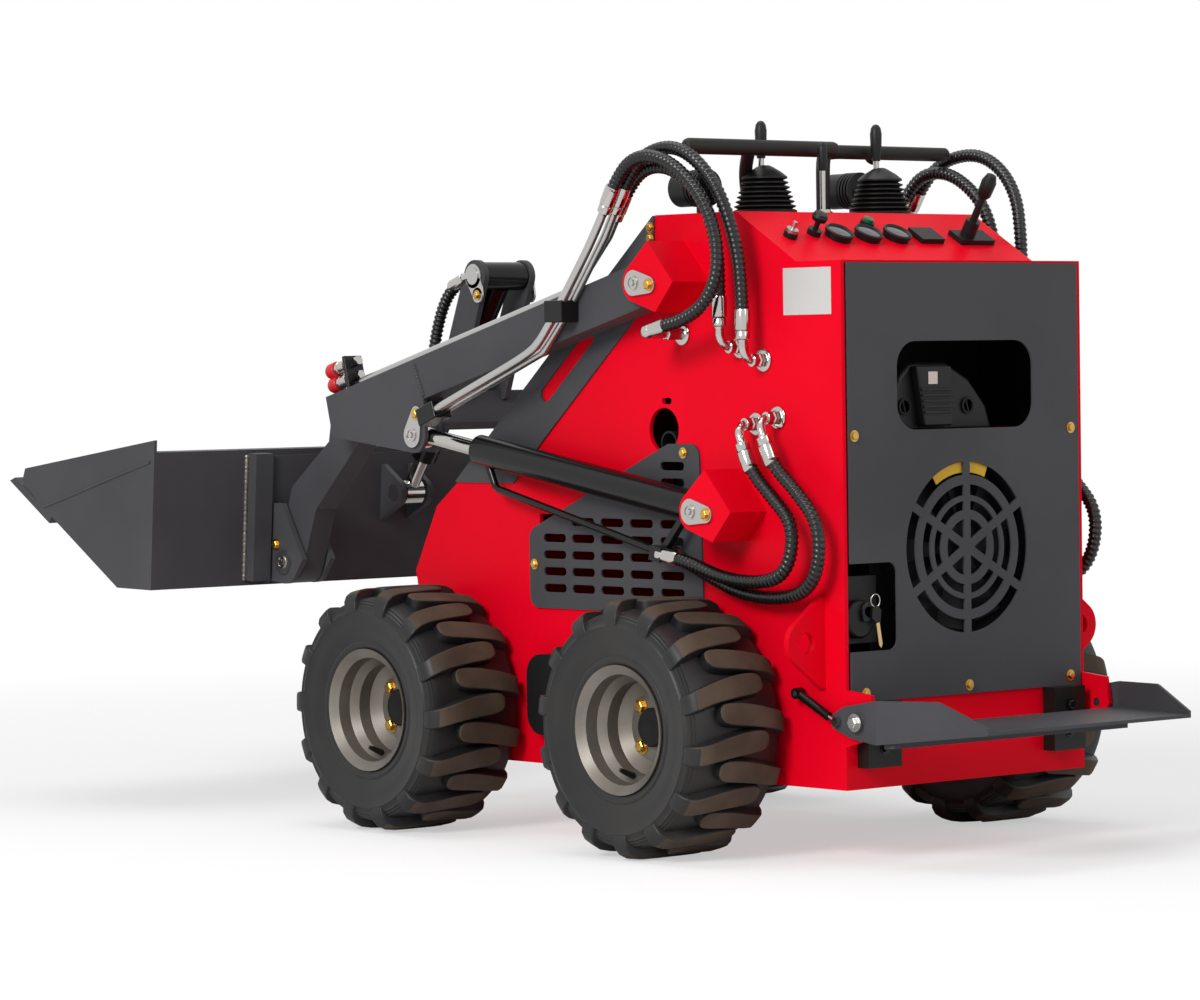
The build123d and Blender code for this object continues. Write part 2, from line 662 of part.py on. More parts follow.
# Hoses from the lower wall fittings round to the ends of the cylinder tubes
LOOPS = [
    [(-500, HOSE_Y, 678), (-650, HOSE_Y + 4, 598), (-636, HOSE_Y + 4, 500), (-470, CYLINDER_Y + 12, 492)],
    [(-556, HOSE_Y, 690), (-712, HOSE_Y, 604), (-672, CYLINDER_Y, 462), (-470, CYLINDER_Y - 12, 466)],
]
LOOP_ENDS = []
for y in (CYLINDER_Y + 12, CYLINDER_Y - 12):
    LOOP_ENDS.append([(*between(BASE_PIN, LIFT_PIN, along, TUBE_END_DROP), y) for along in (40, BLOCK_FROM)])
with BuildPart() as lift_hoses:
    for fitting, loop, end in zip(LOWER_FITTINGS, LOOPS, LOOP_ENDS):
        with BuildLine() as loop_line:
            FilletPolyline(
                spot(fitting[0], HOSE_Y, fitting[1] - FITTING_RISE),
                *[spot(*point) for point in loop],
                *[spot(x, y, z) for x, z, y in end],
                radius=30,
            )
        with BuildSketch(Plane(origin=loop_line.line @ 0, z_dir=loop_line.line % 0)):
            Circle(HOSE_R)
        sweep(path=loop_line.line)
save_pair("lift_hoses", lift_hoses.part)

# Arms: box tube with the brackets that hold the lift pin
BRACKET_T = 8.0
with BuildPart() as arm:
    with BuildSketch(side_plane(ARM_OUTER_Y)):
        Polygon(
            arm_point(0, ARM_HALF), arm_point(ARM_LENGTH, ARM_HALF),
            arm_point(ARM_LENGTH, -ARM_HALF), arm_point(0, -ARM_HALF), align=None,
        )
        with Locations(ARM_PIN):
            Circle(ARM_HALF)
    extrude(amount=ARM_OUTER_Y - ARM_INNER_Y)
    for y in (ARM_OUTER_Y, ARM_INNER_Y + BRACKET_T):
        with BuildSketch(side_plane(y)):
            Polygon(
                arm_point(ARM_LENGTH - 300, -ARM_HALF + 20), arm_point(ARM_LENGTH, -ARM_HALF + 20),
                arm_point(ARM_LENGTH, -ARM_HALF), align=None,
            )
            with Locations(LIFT_PIN):
                Circle(34)
            make_hull()
            with Locations(LIFT_PIN):
                Circle(PIN_R, mode=Mode.SUBTRACT)
        extrude(amount=BRACKET_T)
    with BuildSketch(side_plane(ARM_OUTER_Y)):
        with Locations(ARM_PIN):
            Circle(PIN_R + RUN)
    extrude(amount=ARM_OUTER_Y - ARM_INNER_Y, mode=Mode.SUBTRACT)
save_pair("arm", arm.part)

# Cross tube between the arms with the ears for the tilt cylinder
CROSS_FROM = ARM_LENGTH - 30
CROSS_TO = ARM_LENGTH + 34
CROSS = [
    arm_point(CROSS_FROM, ARM_HALF), arm_point(CROSS_TO, ARM_HALF),
    arm_point(CROSS_TO, ARM_HALF - 64), arm_point(CROSS_FROM, ARM_HALF - 64),
]
EAR_Y = 65.0
EAR_T = 12.0
with BuildPart() as cross_tube:
    with BuildSketch(side_plane(ARM_INNER_Y)):
        Polygon(*CROSS, align=None)
    extrude(amount=2 * ARM_INNER_Y)
    for y in (EAR_Y, EAR_T - EAR_Y):
        with BuildSketch(side_plane(y)):
            Polygon(arm_point(CROSS_FROM - 10, 20), arm_point(CROSS_TO, 20), arm_point(CROSS_TO - 14, 60), align=None)
            with Locations(TILT_TOP):
                Circle(32)
            make_hull()
            with Locations(TILT_TOP):
                Circle(PIN_R, mode=Mode.SUBTRACT)
        extrude(amount=EAR_T)
save("cross_tube", cross_tube.part)

# Legs under the cross tube
LEG_OUTER_Y = ARM_INNER_Y - 12
LEG_INNER_Y = LEG_OUTER_Y - 50
LEG_BOSS_R = 42.0
LEG_ANKLE = shifted(LEG_PIN, -8, 148.5)
LEG_HEEL = shifted(LEG_PIN, -86, 104.5)
with BuildPart() as arm_legs:
    with BuildSketch(side_plane(LEG_OUTER_Y)):
        Polygon(
            CROSS[3], CROSS[2], CROSS[1], shifted(LEG_PIN, -146, 311.5), shifted(LEG_PIN, -132, 239.5),
            LEG_ANKLE, LEG_PIN, LEG_HEEL, shifted(LEG_PIN, -238, 246.5), align=None,
        )
    extrude(amount=LEG_OUTER_Y - LEG_INNER_Y)
    with BuildSketch(side_plane(LEG_OUTER_Y)):
        Polygon(LEG_ANKLE, LEG_HEEL, shifted(LEG_PIN, -58, 71.5), align=None)
        with Locations(LEG_PIN):
            Circle(LEG_BOSS_R)
        make_hull()
    extrude(amount=LEG_OUTER_Y - LEG_INNER_Y)
    with BuildSketch(side_plane(LEG_OUTER_Y)):
        with Locations(LEG_PIN):
            Circle(PIN_R + RUN)
    extrude(amount=LEG_OUTER_Y - LEG_INNER_Y, mode=Mode.SUBTRACT)
    mirror(about=Plane.XZ)
save("arm_legs", arm_legs.part)

# Pins held by the arms: stubs in the lift brackets, and the tilt cylinder's top pin
with BuildPart() as arm_pins:
    for y, reach in ((ARM_OUTER_Y, BRACKET_T), (ARM_INNER_Y + BRACKET_T, BRACKET_T)):
        with BuildSketch(side_plane(y)):
            with Locations(LIFT_PIN):
                Circle(PIN_R)
        extrude(amount=reach)
    with BuildSketch(side_plane(ARM_OUTER_Y + 6)) as arm_keeper:
        with Locations(LIFT_PIN):
            Circle(24)
        with Locations(shifted(LIFT_PIN, -14, 40)):
            Circle(15)
        make_hull()
    extrude(amount=6)
    mirror(about=Plane.XZ)
    with BuildSketch(side_plane(EAR_Y + 6)):
        with Locations(TILT_TOP):
            Circle(PIN_R)
    extrude(amount=2 * (EAR_Y + 6))
save("arm_pins", arm_pins.part)

# Quick couplers on a bracket at the front of the left arm
COUPLER_FROM = ARM_LENGTH - 74
COUPLER_FACE = COUPLER_FROM + 8
with BuildPart() as aux_couplers:
    with BuildSketch(side_plane(CYLINDER_Y + 22)):
        Polygon(
            arm_point(COUPLER_FROM, ARM_HALF), arm_point(COUPLER_FACE, ARM_HALF),
            arm_point(COUPLER_FACE, ARM_HALF + 64), arm_point(COUPLER_FROM, ARM_HALF + 64), align=None,
        )
    extrude(amount=44)
    for off in (ARM_HALF + 22, ARM_HALF + 50):
        at = arm_point(COUPLER_FACE, off)
        with BuildSketch(Plane(origin=spot(at[0], CYLINDER_Y, at[1]), x_dir=(0, 1, 0), z_dir=(ARM_UX, 0, ARM_UZ))):
            Circle(13)
        extrude(amount=66)
save("aux_couplers", aux_couplers.part)

# Tilt cylinder on the centre line
TILT_LENGTH = hypot(TILT_PIN[0] - TILT_TOP[0], TILT_PIN[1] - TILT_TOP[1])
TILT_AXIS = ((TILT_PIN[0] - TILT_TOP[0]) / TILT_LENGTH, 0, (TILT_PIN[1] - TILT_TOP[1]) / TILT_LENGTH)
TILT_BARREL_R = 27.0
TILT_BARREL_END = 440.0
TILT_EYE_HALF = EAR_Y - EAR_T - 2


def tilt_plane(along):
    """Plane square to the tilt cylinder, this far from its top pin."""
    at = between(TILT_TOP, TILT_PIN, along)
    return Plane(origin=spot(at[0], 0, at[1]), x_dir=(0, 1, 0), z_dir=TILT_AXIS)


with BuildPart() as tilt_barrel:
    with BuildSketch(tilt_plane(18)):
        Circle(TILT_BARREL_R)
    extrude(amount=TILT_BARREL_END - 18)
    with BuildSketch(side_plane(TILT_EYE_HALF)):
        with Locations(TILT_TOP):
            Circle(28)
    extrude(amount=2 * TILT_EYE_HALF)
    with BuildSketch(side_plane(TILT_EYE_HALF)):
        with Locations(TILT_TOP):
            Circle(PIN_R + RUN)
    extrude(amount=2 * TILT_EYE_HALF, mode=Mode.SUBTRACT)
    with BuildSketch(tilt_plane(120)):
        Circle(ROD_R + RUN)
    extrude(amount=TILT_BARREL_END - 120, mode=Mode.SUBTRACT)
save("tilt_barrel", tilt_barrel.part)

with BuildPart() as tilt_rod:
    with BuildSketch(tilt_plane(225)):
        Circle(ROD_R)
    extrude(amount=TILT_LENGTH - 225)
    with BuildSketch(side_plane(22)):
        with Locations(TILT_PIN):
            Circle(ROD_EYE_R)
    extrude(amount=44)
    with BuildSketch(side_plane(22)):
        with Locations(TILT_PIN):
            Circle(PIN_R)
    extrude(amount=44, mode=Mode.SUBTRACT)
save("tilt_rod", tilt_rod.part)

# Attachment plate with ears round the leg pins and for the tilt cylinder
PLATE_T = 18.0
PLATE_LEAN = 0.0755


def plate_x(z):
    """Front face of the attachment plate, which leans back as it rises."""
    return LEG_PIN[0] + 68 - (z - LEG_PIN[1]) * PLATE_LEAN


PLATE_LOW = LEG_PIN[1] - 43.5
PLATE_HIGH = LEG_PIN[1] + 211.5
PLATE_EAR_T = 12.0
LEG_GAP = 4.0
PLATE_HALF = LEG_OUTER_Y + LEG_GAP + PLATE_EAR_T
INNER_EAR_Y = LEG_INNER_Y - LEG_GAP
TILT_EAR_Y = 40.0
with BuildPart() as attach_plate:
    with BuildSketch(side_plane(PLATE_HALF)):
        Polygon(
            (plate_x(PLATE_LOW), PLATE_LOW), (plate_x(PLATE_HIGH), PLATE_HIGH),
            (plate_x(PLATE_HIGH) - PLATE_T, PLATE_HIGH), (plate_x(PLATE_LOW) - PLATE_T, PLATE_LOW), align=None,
        )
    extrude(amount=2 * PLATE_HALF)
    for y in (PLATE_HALF, INNER_EAR_Y, PLATE_EAR_T - INNER_EAR_Y, PLATE_EAR_T - PLATE_HALF):
        with BuildSketch(side_plane(y)):
            Polygon(
                shifted(LEG_PIN, 51, 116.5), shifted(LEG_PIN, 6, 115.5), shifted(LEG_PIN, -60, 5.5),
                shifted(LEG_PIN, 51, -38.5), align=None,
            )
            with Locations(LEG_PIN):
                Circle(44)
            make_hull()
            with Locations(LEG_PIN):
                Circle(PIN_R, mode=Mode.SUBTRACT)
        extrude(amount=PLATE_EAR_T)
    for y in (TILT_EAR_Y, PLATE_EAR_T - TILT_EAR_Y):
        with BuildSketch(side_plane(y)):
            Polygon(shifted(TILT_PIN, 49, -58), shifted(TILT_PIN, 45, 58), shifted(TILT_PIN, 33, 58), align=None)
            with Locations(TILT_PIN):
                Circle(30)
            make_hull()
            with Locations(TILT_PIN):
                Circle(PIN_R, mode=Mode.SUBTRACT)
        extrude(amount=PLATE_EAR_T)
save("attach_plate", attach_plate.part)

with BuildPart() as attach_pins:
    with BuildSketch(side_plane(PLATE_HALF)):
        with Locations(LEG_PIN):
            Circle(PIN_R)
    extrude(amount=PLATE_HALF - INNER_EAR_Y + PLATE_EAR_T)
    with BuildSketch(side_plane(PLATE_HALF + 6)):
        with Locations(LEG_PIN):
            Circle(24)
    extrude(amount=6)
    with BuildSketch(side_plane(TILT_EAR_Y)):
        with Locations(TILT_PIN):
            Circle(PIN_R)
    extrude(amount=PLATE_EAR_T)
    mirror(about=Plane.XZ)
save("attach_pins", attach_pins.part)

# Bucket: folded back and floor, side plates, top flange and the bars beside the attachment plate
BUCKET_T = 6.0
BACK_TOP_Z = PLATE_HIGH + 12
BACK_LOW_Z = PLATE_LOW - 4
BACK_TOP = (plate_x(BACK_TOP_Z), BACK_TOP_Z)
BACK_LOW = (plate_x(BACK_LOW_Z), BACK_LOW_Z)
FLOOR_BEND = shifted(LEG_PIN, 188, -45.5)
FLOOR_RISE = radians(30.9)
FLOOR_LENGTH = 328.0
FLOOR_END = (FLOOR_BEND[0] + FLOOR_LENGTH * cos(FLOOR_RISE), FLOOR_BEND[1] + FLOOR_LENGTH * sin(FLOOR_RISE))
SIDE_OUTLINE = [
    (plate_x(BACK_TOP_Z + 24), BACK_TOP_Z + 24), BACK_LOW, FLOOR_BEND, FLOOR_END,
    shifted(LEG_PIN, 522, 163.5), shifted(LEG_PIN, 511, 188.5),
]
BAR_WIDTH = 42.0
BAR_DEPTH = 30.0
BAR_LOW = (plate_x(PLATE_LOW + 7), PLATE_LOW + 7)
BAR_HIGH = (plate_x(PLATE_HIGH + 6), PLATE_HIGH + 6)
with BuildPart() as bucket_shell:
    with BuildSketch(side_plane(BUCKET_HALF)):
        Polygon(*sheet([BACK_TOP, BACK_LOW, FLOOR_BEND, FLOOR_END], BUCKET_T), align=None)
    extrude(amount=2 * BUCKET_HALF)
    for y in (BUCKET_HALF, BUCKET_T - BUCKET_HALF):
        with BuildSketch(side_plane(y)):
            Polygon(*SIDE_OUTLINE, align=None)
        extrude(amount=BUCKET_T)
    with BuildSketch(side_plane(BUCKET_HALF)):
        Polygon(
            BACK_TOP, shifted(BACK_TOP, 34, 2), shifted(BACK_TOP, 34, -22),
            (plate_x(BACK_TOP_Z - 22), BACK_TOP_Z - 22), align=None,
        )
    extrude(amount=2 * BUCKET_HALF)
    for y in (PLATE_HALF + 6 + BAR_WIDTH, -PLATE_HALF - 6):
        with BuildSketch(side_plane(y)):
            Polygon(*sheet([BAR_LOW, BAR_HIGH], BAR_DEPTH), align=None)
        extrude(amount=BAR_WIDTH)
save("bucket_shell", bucket_shell.part)

EDGE_T = 16.0
EDGE_FROM = (FLOOR_END[0] - 60 * cos(FLOOR_RISE), FLOOR_END[1] - 60 * sin(FLOOR_RISE))
EDGE_LOW = (EDGE_FROM[0] + EDGE_T * sin(FLOOR_RISE), EDGE_FROM[1] - EDGE_T * cos(FLOOR_RISE))
EDGE_REACH = (BUCKET_TIP_X - EDGE_LOW[0]) / cos(FLOOR_RISE)
EDGE_TIP = (BUCKET_TIP_X, EDGE_LOW[1] + EDGE_REACH * sin(FLOOR_RISE))
EDGE_TOP = (EDGE_FROM[0] + (EDGE_REACH - 14) * cos(FLOOR_RISE), EDGE_FROM[1] + (EDGE_REACH - 14) * sin(FLOOR_RISE))
with BuildPart() as cutting_edge:
    with BuildSketch(side_plane(BUCKET_HALF)):
        Polygon(EDGE_FROM, EDGE_LOW, EDGE_TIP, EDGE_TOP, align=None)
    extrude(amount=2 * BUCKET_HALF)
save("cutting_edge", cutting_edge.part)

# Foot platform with its tapering side flanges
PLATE_Z = 238.0
BEND_X = -800.0
PLATFORM_REAR_Y = 247.0
with BuildPart() as foot_platform:
    with BuildSketch(level_plane(PLATE_Z)):
        Polygon(
            (BEND_X, FLANGE_Y), (PLATFORM_REAR_X, PLATFORM_REAR_Y), (PLATFORM_REAR_X, -PLATFORM_REAR_Y),
            (BEND_X, -FLANGE_Y), align=None,
        )
    extrude(amount=6)
    with BuildSketch(level_plane(206)):
        for side in (1, -1):
            Polygon(
                (-690, side * FLANGE_Y), (BEND_X, side * FLANGE_Y), (PLATFORM_REAR_X, side * PLATFORM_REAR_Y),
                (PLATFORM_REAR_X, side * (PLATFORM_REAR_Y + FLANGE_T)), (BEND_X, side * (FLANGE_Y + FLANGE_T)),
                (-690, side * (FLANGE_Y + FLANGE_T)), align=None,
            )
    extrude(amount=90)
    with BuildSketch(side_plane(FLANGE_Y + FLANGE_T)):
        Polygon(
            (-694, 262), (-720, 276), (-800, 290), (-918, 292), (-925, 290), (PLATFORM_REAR_X, 250),
            (PLATFORM_REAR_X, PLATE_Z), (-800, 214), (-740, 222), (-694, 238), align=None,
        )
    extrude(amount=2 * (FLANGE_Y + FLANGE_T), mode=Mode.INTERSECT)
    with BuildSketch(side_plane(FLANGE_Y - 8)):
        Polygon((-806, PLATE_Z), (-806, 208), (-830, 208), (-830, PLATE_Z), align=None)
    extrude(amount=2 * (FLANGE_Y - 8))
    with BuildSketch(side_plane(FLANGE_Y + FLANGE_T)):
        with Locations(HINGE):
            Circle(8 + RUN)
    extrude(amount=2 * (FLANGE_Y + FLANGE_T), mode=Mode.SUBTRACT)
save("foot_platform", foot_platform.part)

# Gas strut of the platform, on the left
STRUT_LENGTH = hypot(STRUT_LUG[0] - STRUT_BASE[0], STRUT_LUG[1] - STRUT_BASE[1])
STRUT_AXIS = ((STRUT_LUG[0] - STRUT_BASE[0]) / STRUT_LENGTH, 0, (STRUT_LUG[1] - STRUT_BASE[1]) / STRUT_LENGTH)


def strut_plane(along):
    """Plane square to the gas strut, this far from its pin on the wall."""
    at = between(STRUT_BASE, STRUT_LUG, along)
    return Plane(origin=spot(at[0], STRUT_Y, at[1]), x_dir=(0, 1, 0), z_dir=STRUT_AXIS)


with BuildPart() as strut_barrel:
    with BuildSketch(strut_plane(0)):
        Circle(8)
    extrude(amount=84)
    with BuildSketch(side_plane(STRUT_Y + 8)):
        with Locations(STRUT_BASE):
            Circle(10)
    extrude(amount=16)
    with BuildSketch(side_plane(STRUT_Y + 8)):
        with Locations(STRUT_BASE):
            Circle(5 + RUN)
    extrude(amount=16, mode=Mode.SUBTRACT)
    with BuildSketch(strut_plane(16)):
        Circle(4 + RUN)
    extrude(amount=68, mode=Mode.SUBTRACT)
save("strut_barrel", strut_barrel.part)

with BuildPart() as strut_rod:
    with BuildSketch(strut_plane(22)):
        Circle(4)
    extrude(amount=STRUT_LENGTH - 22)
    with BuildSketch(side_plane(STRUT_Y + 4)):
        with Locations(STRUT_LUG):
            Circle(8)
    extrude(amount=8)
save("strut_rod", strut_rod.part)

# Wheels, drawn about their own axle with the outer side up, then set on the four shafts
LUGS = 14
LUG_HALF = 15.0
LUG_TIP = -49.0
LUG_SLANT = radians(12)
CARCASS_R = TYRE_R - 16
CARCASS_HALF = TYRE_WIDTH / 2 - 4
SHOULDER_DROP = 24.0
SHOULDER_FROM = CARCASS_HALF - 34
BEAD_R = 104.0
BEAD_HALF = 86.0
BEAD_SLOPE = 1.11
FLAT = cos(pi / (2 * LUGS))
FLAT_TURN = 90 / LUGS
LUG_END = (TYRE_WIDTH / 2 - LUG_HALF * sin(LUG_SLANT)) / cos(LUG_SLANT)
LUG_PROFILE = [
    (LUG_TIP, CARCASS_R - 14), (LUG_TIP, TYRE_R + 4), (SHOULDER_FROM + 12, TYRE_R + 4),
    (LUG_END, CARCASS_R - SHOULDER_DROP), (CARCASS_HALF - 10, CARCASS_R - SHOULDER_DROP - 4),
    (SHOULDER_FROM, CARCASS_R - 14),
]
with BuildPart() as tyre:
    with BuildSketch(Plane.XY) as tread_ring:
        RegularPolygon(CARCASS_R, 2 * LUGS, rotation=FLAT_TURN)
    extrude(amount=SHOULDER_FROM)
    with BuildSketch(Plane.XY.offset(SHOULDER_FROM)) as shoulder_ring:
        RegularPolygon(CARCASS_R, 2 * LUGS, rotation=FLAT_TURN)
    extrude(
        amount=CARCASS_HALF - SHOULDER_FROM,
        taper=degrees(atan2(SHOULDER_DROP * FLAT, CARCASS_HALF - SHOULDER_FROM)),
    )
    with BuildSketch(Plane.XY) as bead_ring:
        RegularPolygon((BEAD_R + RUN) / FLAT, 2 * LUGS, rotation=FLAT_TURN)
    extrude(amount=CARCASS_HALF, mode=Mode.SUBTRACT)
    bead_depth = CARCASS_HALF - BEAD_HALF
    with BuildSketch(Plane(origin=(0, 0, CARCASS_HALF), x_dir=(1, 0, 0), z_dir=(0, 0, -1))) as bead_mouth:
        RegularPolygon((BEAD_R + RUN + BEAD_SLOPE * bead_depth) / FLAT, 2 * LUGS, rotation=FLAT_TURN)
    extrude(amount=bead_depth, taper=degrees(atan2(BEAD_SLOPE, 1)), mode=Mode.SUBTRACT)
    mirror(about=Plane.XY)
    for half, phase in ((1, 0.0), (-1, 0.5)):
        for k in range(LUGS):
            turn = pi / 2 + 2 * pi * (k + phase) / LUGS
            out = Vector(cos(turn), sin(turn), 0)
            along = Vector(sin(LUG_SLANT) * sin(turn), -sin(LUG_SLANT) * cos(turn), half * cos(LUG_SLANT))
            with BuildSketch(Plane(origin=(0, 0, 0), x_dir=along, z_dir=along.cross(out))):
                Polygon(*LUG_PROFILE, align=None)
    extrude(amount=LUG_HALF, both=True)
    with BuildSketch(Plane.XY) as tread_reach:
        RegularPolygon(TYRE_R / FLAT, 2 * LUGS, rotation=FLAT_TURN)
    extrude(amount=TYRE_WIDTH, both=True, mode=Mode.INTERSECT)

RIM_DISC = SHAFT_END_Y - 10 - TYRE_Y
HUB_IN = MOTOR_END_Y + 2 - TYRE_Y
RIM_PROFILE = [
    (BEAD_R, -BEAD_HALF), (RIM_FLANGE_R, -BEAD_HALF - 10), (RIM_FLANGE_R, -BEAD_HALF - 13), (BEAD_R - 6, -BEAD_HALF - 4),
    (84, -40), (84, RIM_DISC - 8), (40, RIM_DISC - 18), (40, HUB_IN), (SHAFT_R + RUN, HUB_IN),
    (SHAFT_R + RUN, RIM_DISC), (62, RIM_DISC), (84, RIM_DISC + 14), (84, 50), (96, 64), (BEAD_R - 6, BEAD_HALF + 2),
    (RIM_FLANGE_R, BEAD_HALF + 13), (RIM_FLANGE_R, BEAD_HALF + 10), (BEAD_R, BEAD_HALF),
    (BEAD_R, 66), (92, 50), (92, -40), (BEAD_R, -60),
]
with BuildPart() as rim:
    with BuildSketch(Plane.XZ):
        Polygon(*RIM_PROFILE, align=None)
    revolve(axis=Axis.Z)

for end, x in (("f", 1), ("r", -1)):
    seat = Location(spot(x * HALF_BASE, TYRE_Y, AXLE_Z), (-90, 0, 0))
    for node, piece in (("tyre_" + end, seat * tyre.part), ("rim_" + end, seat * rim.part)):
        save(node + "l", piece)
        save(node + "r", mirror(piece, about=Plane.XZ))
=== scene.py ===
"""Looks of the stand-on mini skid steer loader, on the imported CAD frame."""

import json
from math import cos, pi, radians, sin

import bmesh
import bpy
from mathutils import Matrix, Vector


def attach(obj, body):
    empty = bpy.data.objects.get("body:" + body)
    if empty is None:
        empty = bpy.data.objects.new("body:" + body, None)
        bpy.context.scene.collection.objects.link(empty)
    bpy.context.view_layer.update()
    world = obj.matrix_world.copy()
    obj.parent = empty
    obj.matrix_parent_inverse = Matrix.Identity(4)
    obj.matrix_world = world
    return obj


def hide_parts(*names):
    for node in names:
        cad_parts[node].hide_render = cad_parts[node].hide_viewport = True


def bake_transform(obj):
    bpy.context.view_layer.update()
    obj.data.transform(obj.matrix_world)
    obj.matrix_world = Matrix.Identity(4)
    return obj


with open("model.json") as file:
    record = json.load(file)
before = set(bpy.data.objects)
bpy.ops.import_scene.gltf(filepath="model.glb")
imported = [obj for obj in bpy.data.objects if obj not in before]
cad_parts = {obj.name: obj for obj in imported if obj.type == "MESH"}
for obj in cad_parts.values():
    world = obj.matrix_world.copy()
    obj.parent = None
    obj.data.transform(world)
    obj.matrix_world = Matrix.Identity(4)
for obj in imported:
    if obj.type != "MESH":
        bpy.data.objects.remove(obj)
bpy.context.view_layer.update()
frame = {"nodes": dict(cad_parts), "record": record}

# Lengths are in millimetres, counted along the machine from the middle of the wheelbase.
MID_X = -214.473
SIDES = (("left", 1), ("right", -1))
WHEELS = (("fl", 1, 1), ("fr", 1, -1), ("rl", -1, 1), ("rr", -1, -1))
WHEEL_X = 362
WHEEL_Y = 414
TYRE_R = 230
WALL_Y = 297
PANEL_X = -722
DECK_TOP = 1140
ARM_OUTER_Y = 362
CHEEK_FACE_Y = 390
BRACKET_FACE_Y = 368
# Pins of the loader, as (x, z)
ARM_PIN = (-278, 1017)
BASE_PIN = (-422, 611)
LIFT_PIN = (395.3, 743.2)
LEG_PIN = (878, 488.4)
TILT_PIN = (573.5, 1049.7)


def at(x, y, z):
    """Point in the frame, in metres."""
    return Vector(((x + MID_X) / 1000, y / 1000, z / 1000))


# Materials


def shader(name, color, roughness, metallic=0.0, coat=0.0, gloss=0.3):
    """Plain surface with one colour."""
    material = bpy.data.materials.new(name)
    material.use_nodes = True
    surface = material.node_tree.nodes["Principled BSDF"]
    surface.inputs["Base Color"].default_value = (*color, 1)
    surface.inputs["Roughness"].default_value = roughness
    surface.inputs["Metallic"].default_value = metallic
    surface.inputs["Specular IOR Level"].default_value = gloss
    surface.inputs["Coat Weight"].default_value = coat
    surface.inputs["Coat Roughness"].default_value = 0.12
    return material


def mottle(material, other, scale, low=0.4, high=0.7):
    """Vary the base colour toward another one with a noise pattern."""
    nodes = material.node_tree.nodes
    links = material.node_tree.links
    surface = nodes["Principled BSDF"]
    base = tuple(surface.inputs["Base Color"].default_value)
    place = nodes.new("ShaderNodeTexCoord")
    noise = nodes.new("ShaderNodeTexNoise")
    noise.inputs["Scale"].default_value = scale
    noise.inputs["Detail"].default_value = 5
    spread = nodes.new("ShaderNodeMapRange")
    spread.inputs["From Min"].default_value = low
    spread.inputs["From Max"].default_value = high
    mix = nodes.new("ShaderNodeMix")
    mix.data_type = "RGBA"
    mix.inputs[6].default_value = base
    mix.inputs[7].default_value = (*other, 1)
    links.new(place.outputs["Object"], noise.inputs["Vector"])
    links.new(noise.outputs["Fac"], spread.inputs["Value"])
    links.new(spread.outputs["Result"], mix.inputs[0])
    links.new(mix.outputs[2], surface.inputs["Base Color"])


def grain(material, scale, strength, distance=0.0004):
    """Fine surface relief."""
    nodes = material.node_tree.nodes
    links = material.node_tree.links
    place = nodes.new("ShaderNodeTexCoord")
    noise = nodes.new("ShaderNodeTexNoise")
    noise.inputs["Scale"].default_value = scale
    bump = nodes.new("ShaderNodeBump")
    bump.inputs["Strength"].default_value = strength
    bump.inputs["Distance"].default_value = distance
    links.new(place.outputs["Object"], noise.inputs["Vector"])
    links.new(noise.outputs["Fac"], bump.inputs["Height"])
    links.new(bump.outputs["Normal"], nodes["Principled BSDF"].inputs["Normal"])


red = shader("red_paint", (0.76, 0.0005, 0.014), 0.4, gloss=0.06)
mottle(red, (0.68, 0.0005, 0.011), 3)
grain(red, 420, 0.1)
grey = shader("grey_paint", (0.06, 0.06, 0.066), 0.52, gloss=0.16)
mottle(grey, (0.047, 0.047, 0.052), 4)
grain(grey, 900, 0.35)
black = shader("black_paint", (0.004, 0.004, 0.004), 0.24, coat=0.15, gloss=0.2)
grain(black, 300, 0.05)
silver = shader("silver_paint", (0.2, 0.182, 0.16), 0.4, 0.6)
mottle(silver, (0.125, 0.11, 0.09), 9)
grain(silver, 500, 0.15)
plastic = shader("black_plastic", (0.006, 0.006, 0.006), 0.45, gloss=0.25)
grain(plastic, 700, 0.3)
rubber = shader("black_rubber", (0.005, 0.005, 0.005), 0.42, gloss=0.25)
grain(rubber, 500, 0.2)
grip = shader("grip_foam", (0.01, 0.009, 0.008), 0.55, gloss=0.25)
grain(grip, 600, 0.4)
guard = shader("hose_guard", (0.005, 0.005, 0.005), 0.28, gloss=0.4)
tyre_rubber = shader("tyre_rubber", (0.008, 0.008, 0.009), 0.46, gloss=0.35)
mottle(tyre_rubber, (0.018, 0.016, 0.014), 7, 0.45, 0.8)
grain(tyre_rubber, 260, 0.3)
tread_rubber = shader("tread_rubber", (0.052, 0.036, 0.025), 0.7, gloss=0.2)
mottle(tread_rubber, (0.085, 0.06, 0.041), 11, 0.4, 0.7)
grain(tread_rubber, 200, 0.6)
chrome = shader("chrome_rod", (0.5, 0.48, 0.455), 0.13, 1.0)
zinc = shader("zinc_steel", (0.47, 0.465, 0.455), 0.3, 1.0)
grain(zinc, 260, 0.15)
iron = shader("engine_iron", (0.007, 0.007, 0.008), 0.6, gloss=0.2)
grain(iron, 300, 0.4)
gold = shader("gold_zinc", (0.55, 0.34, 0.09), 0.32, 1.0)
brass = shader("key_brass", (0.55, 0.42, 0.2), 0.35, 1.0)
red_plastic = shader("red_plastic", (0.55, 0.008, 0.012), 0.4)
green_plastic = shader("green_plastic", (0.005, 0.14, 0.06), 0.35)
dial_glass = shader("dial_glass", (0.02, 0.02, 0.02), 0.08, coat=0.5)
lens = shader("lamp_lens", (0.75, 0.77, 0.8), 0.1)
bare_plate = shader("bare_plate", (0.6, 0.59, 0.57), 0.5, 0.4)
tag_paper = shader("blank_tag", (0.62, 0.5, 0.47), 0.5)
band_yellow = shader("blank_band", (0.62, 0.36, 0.02), 0.4)
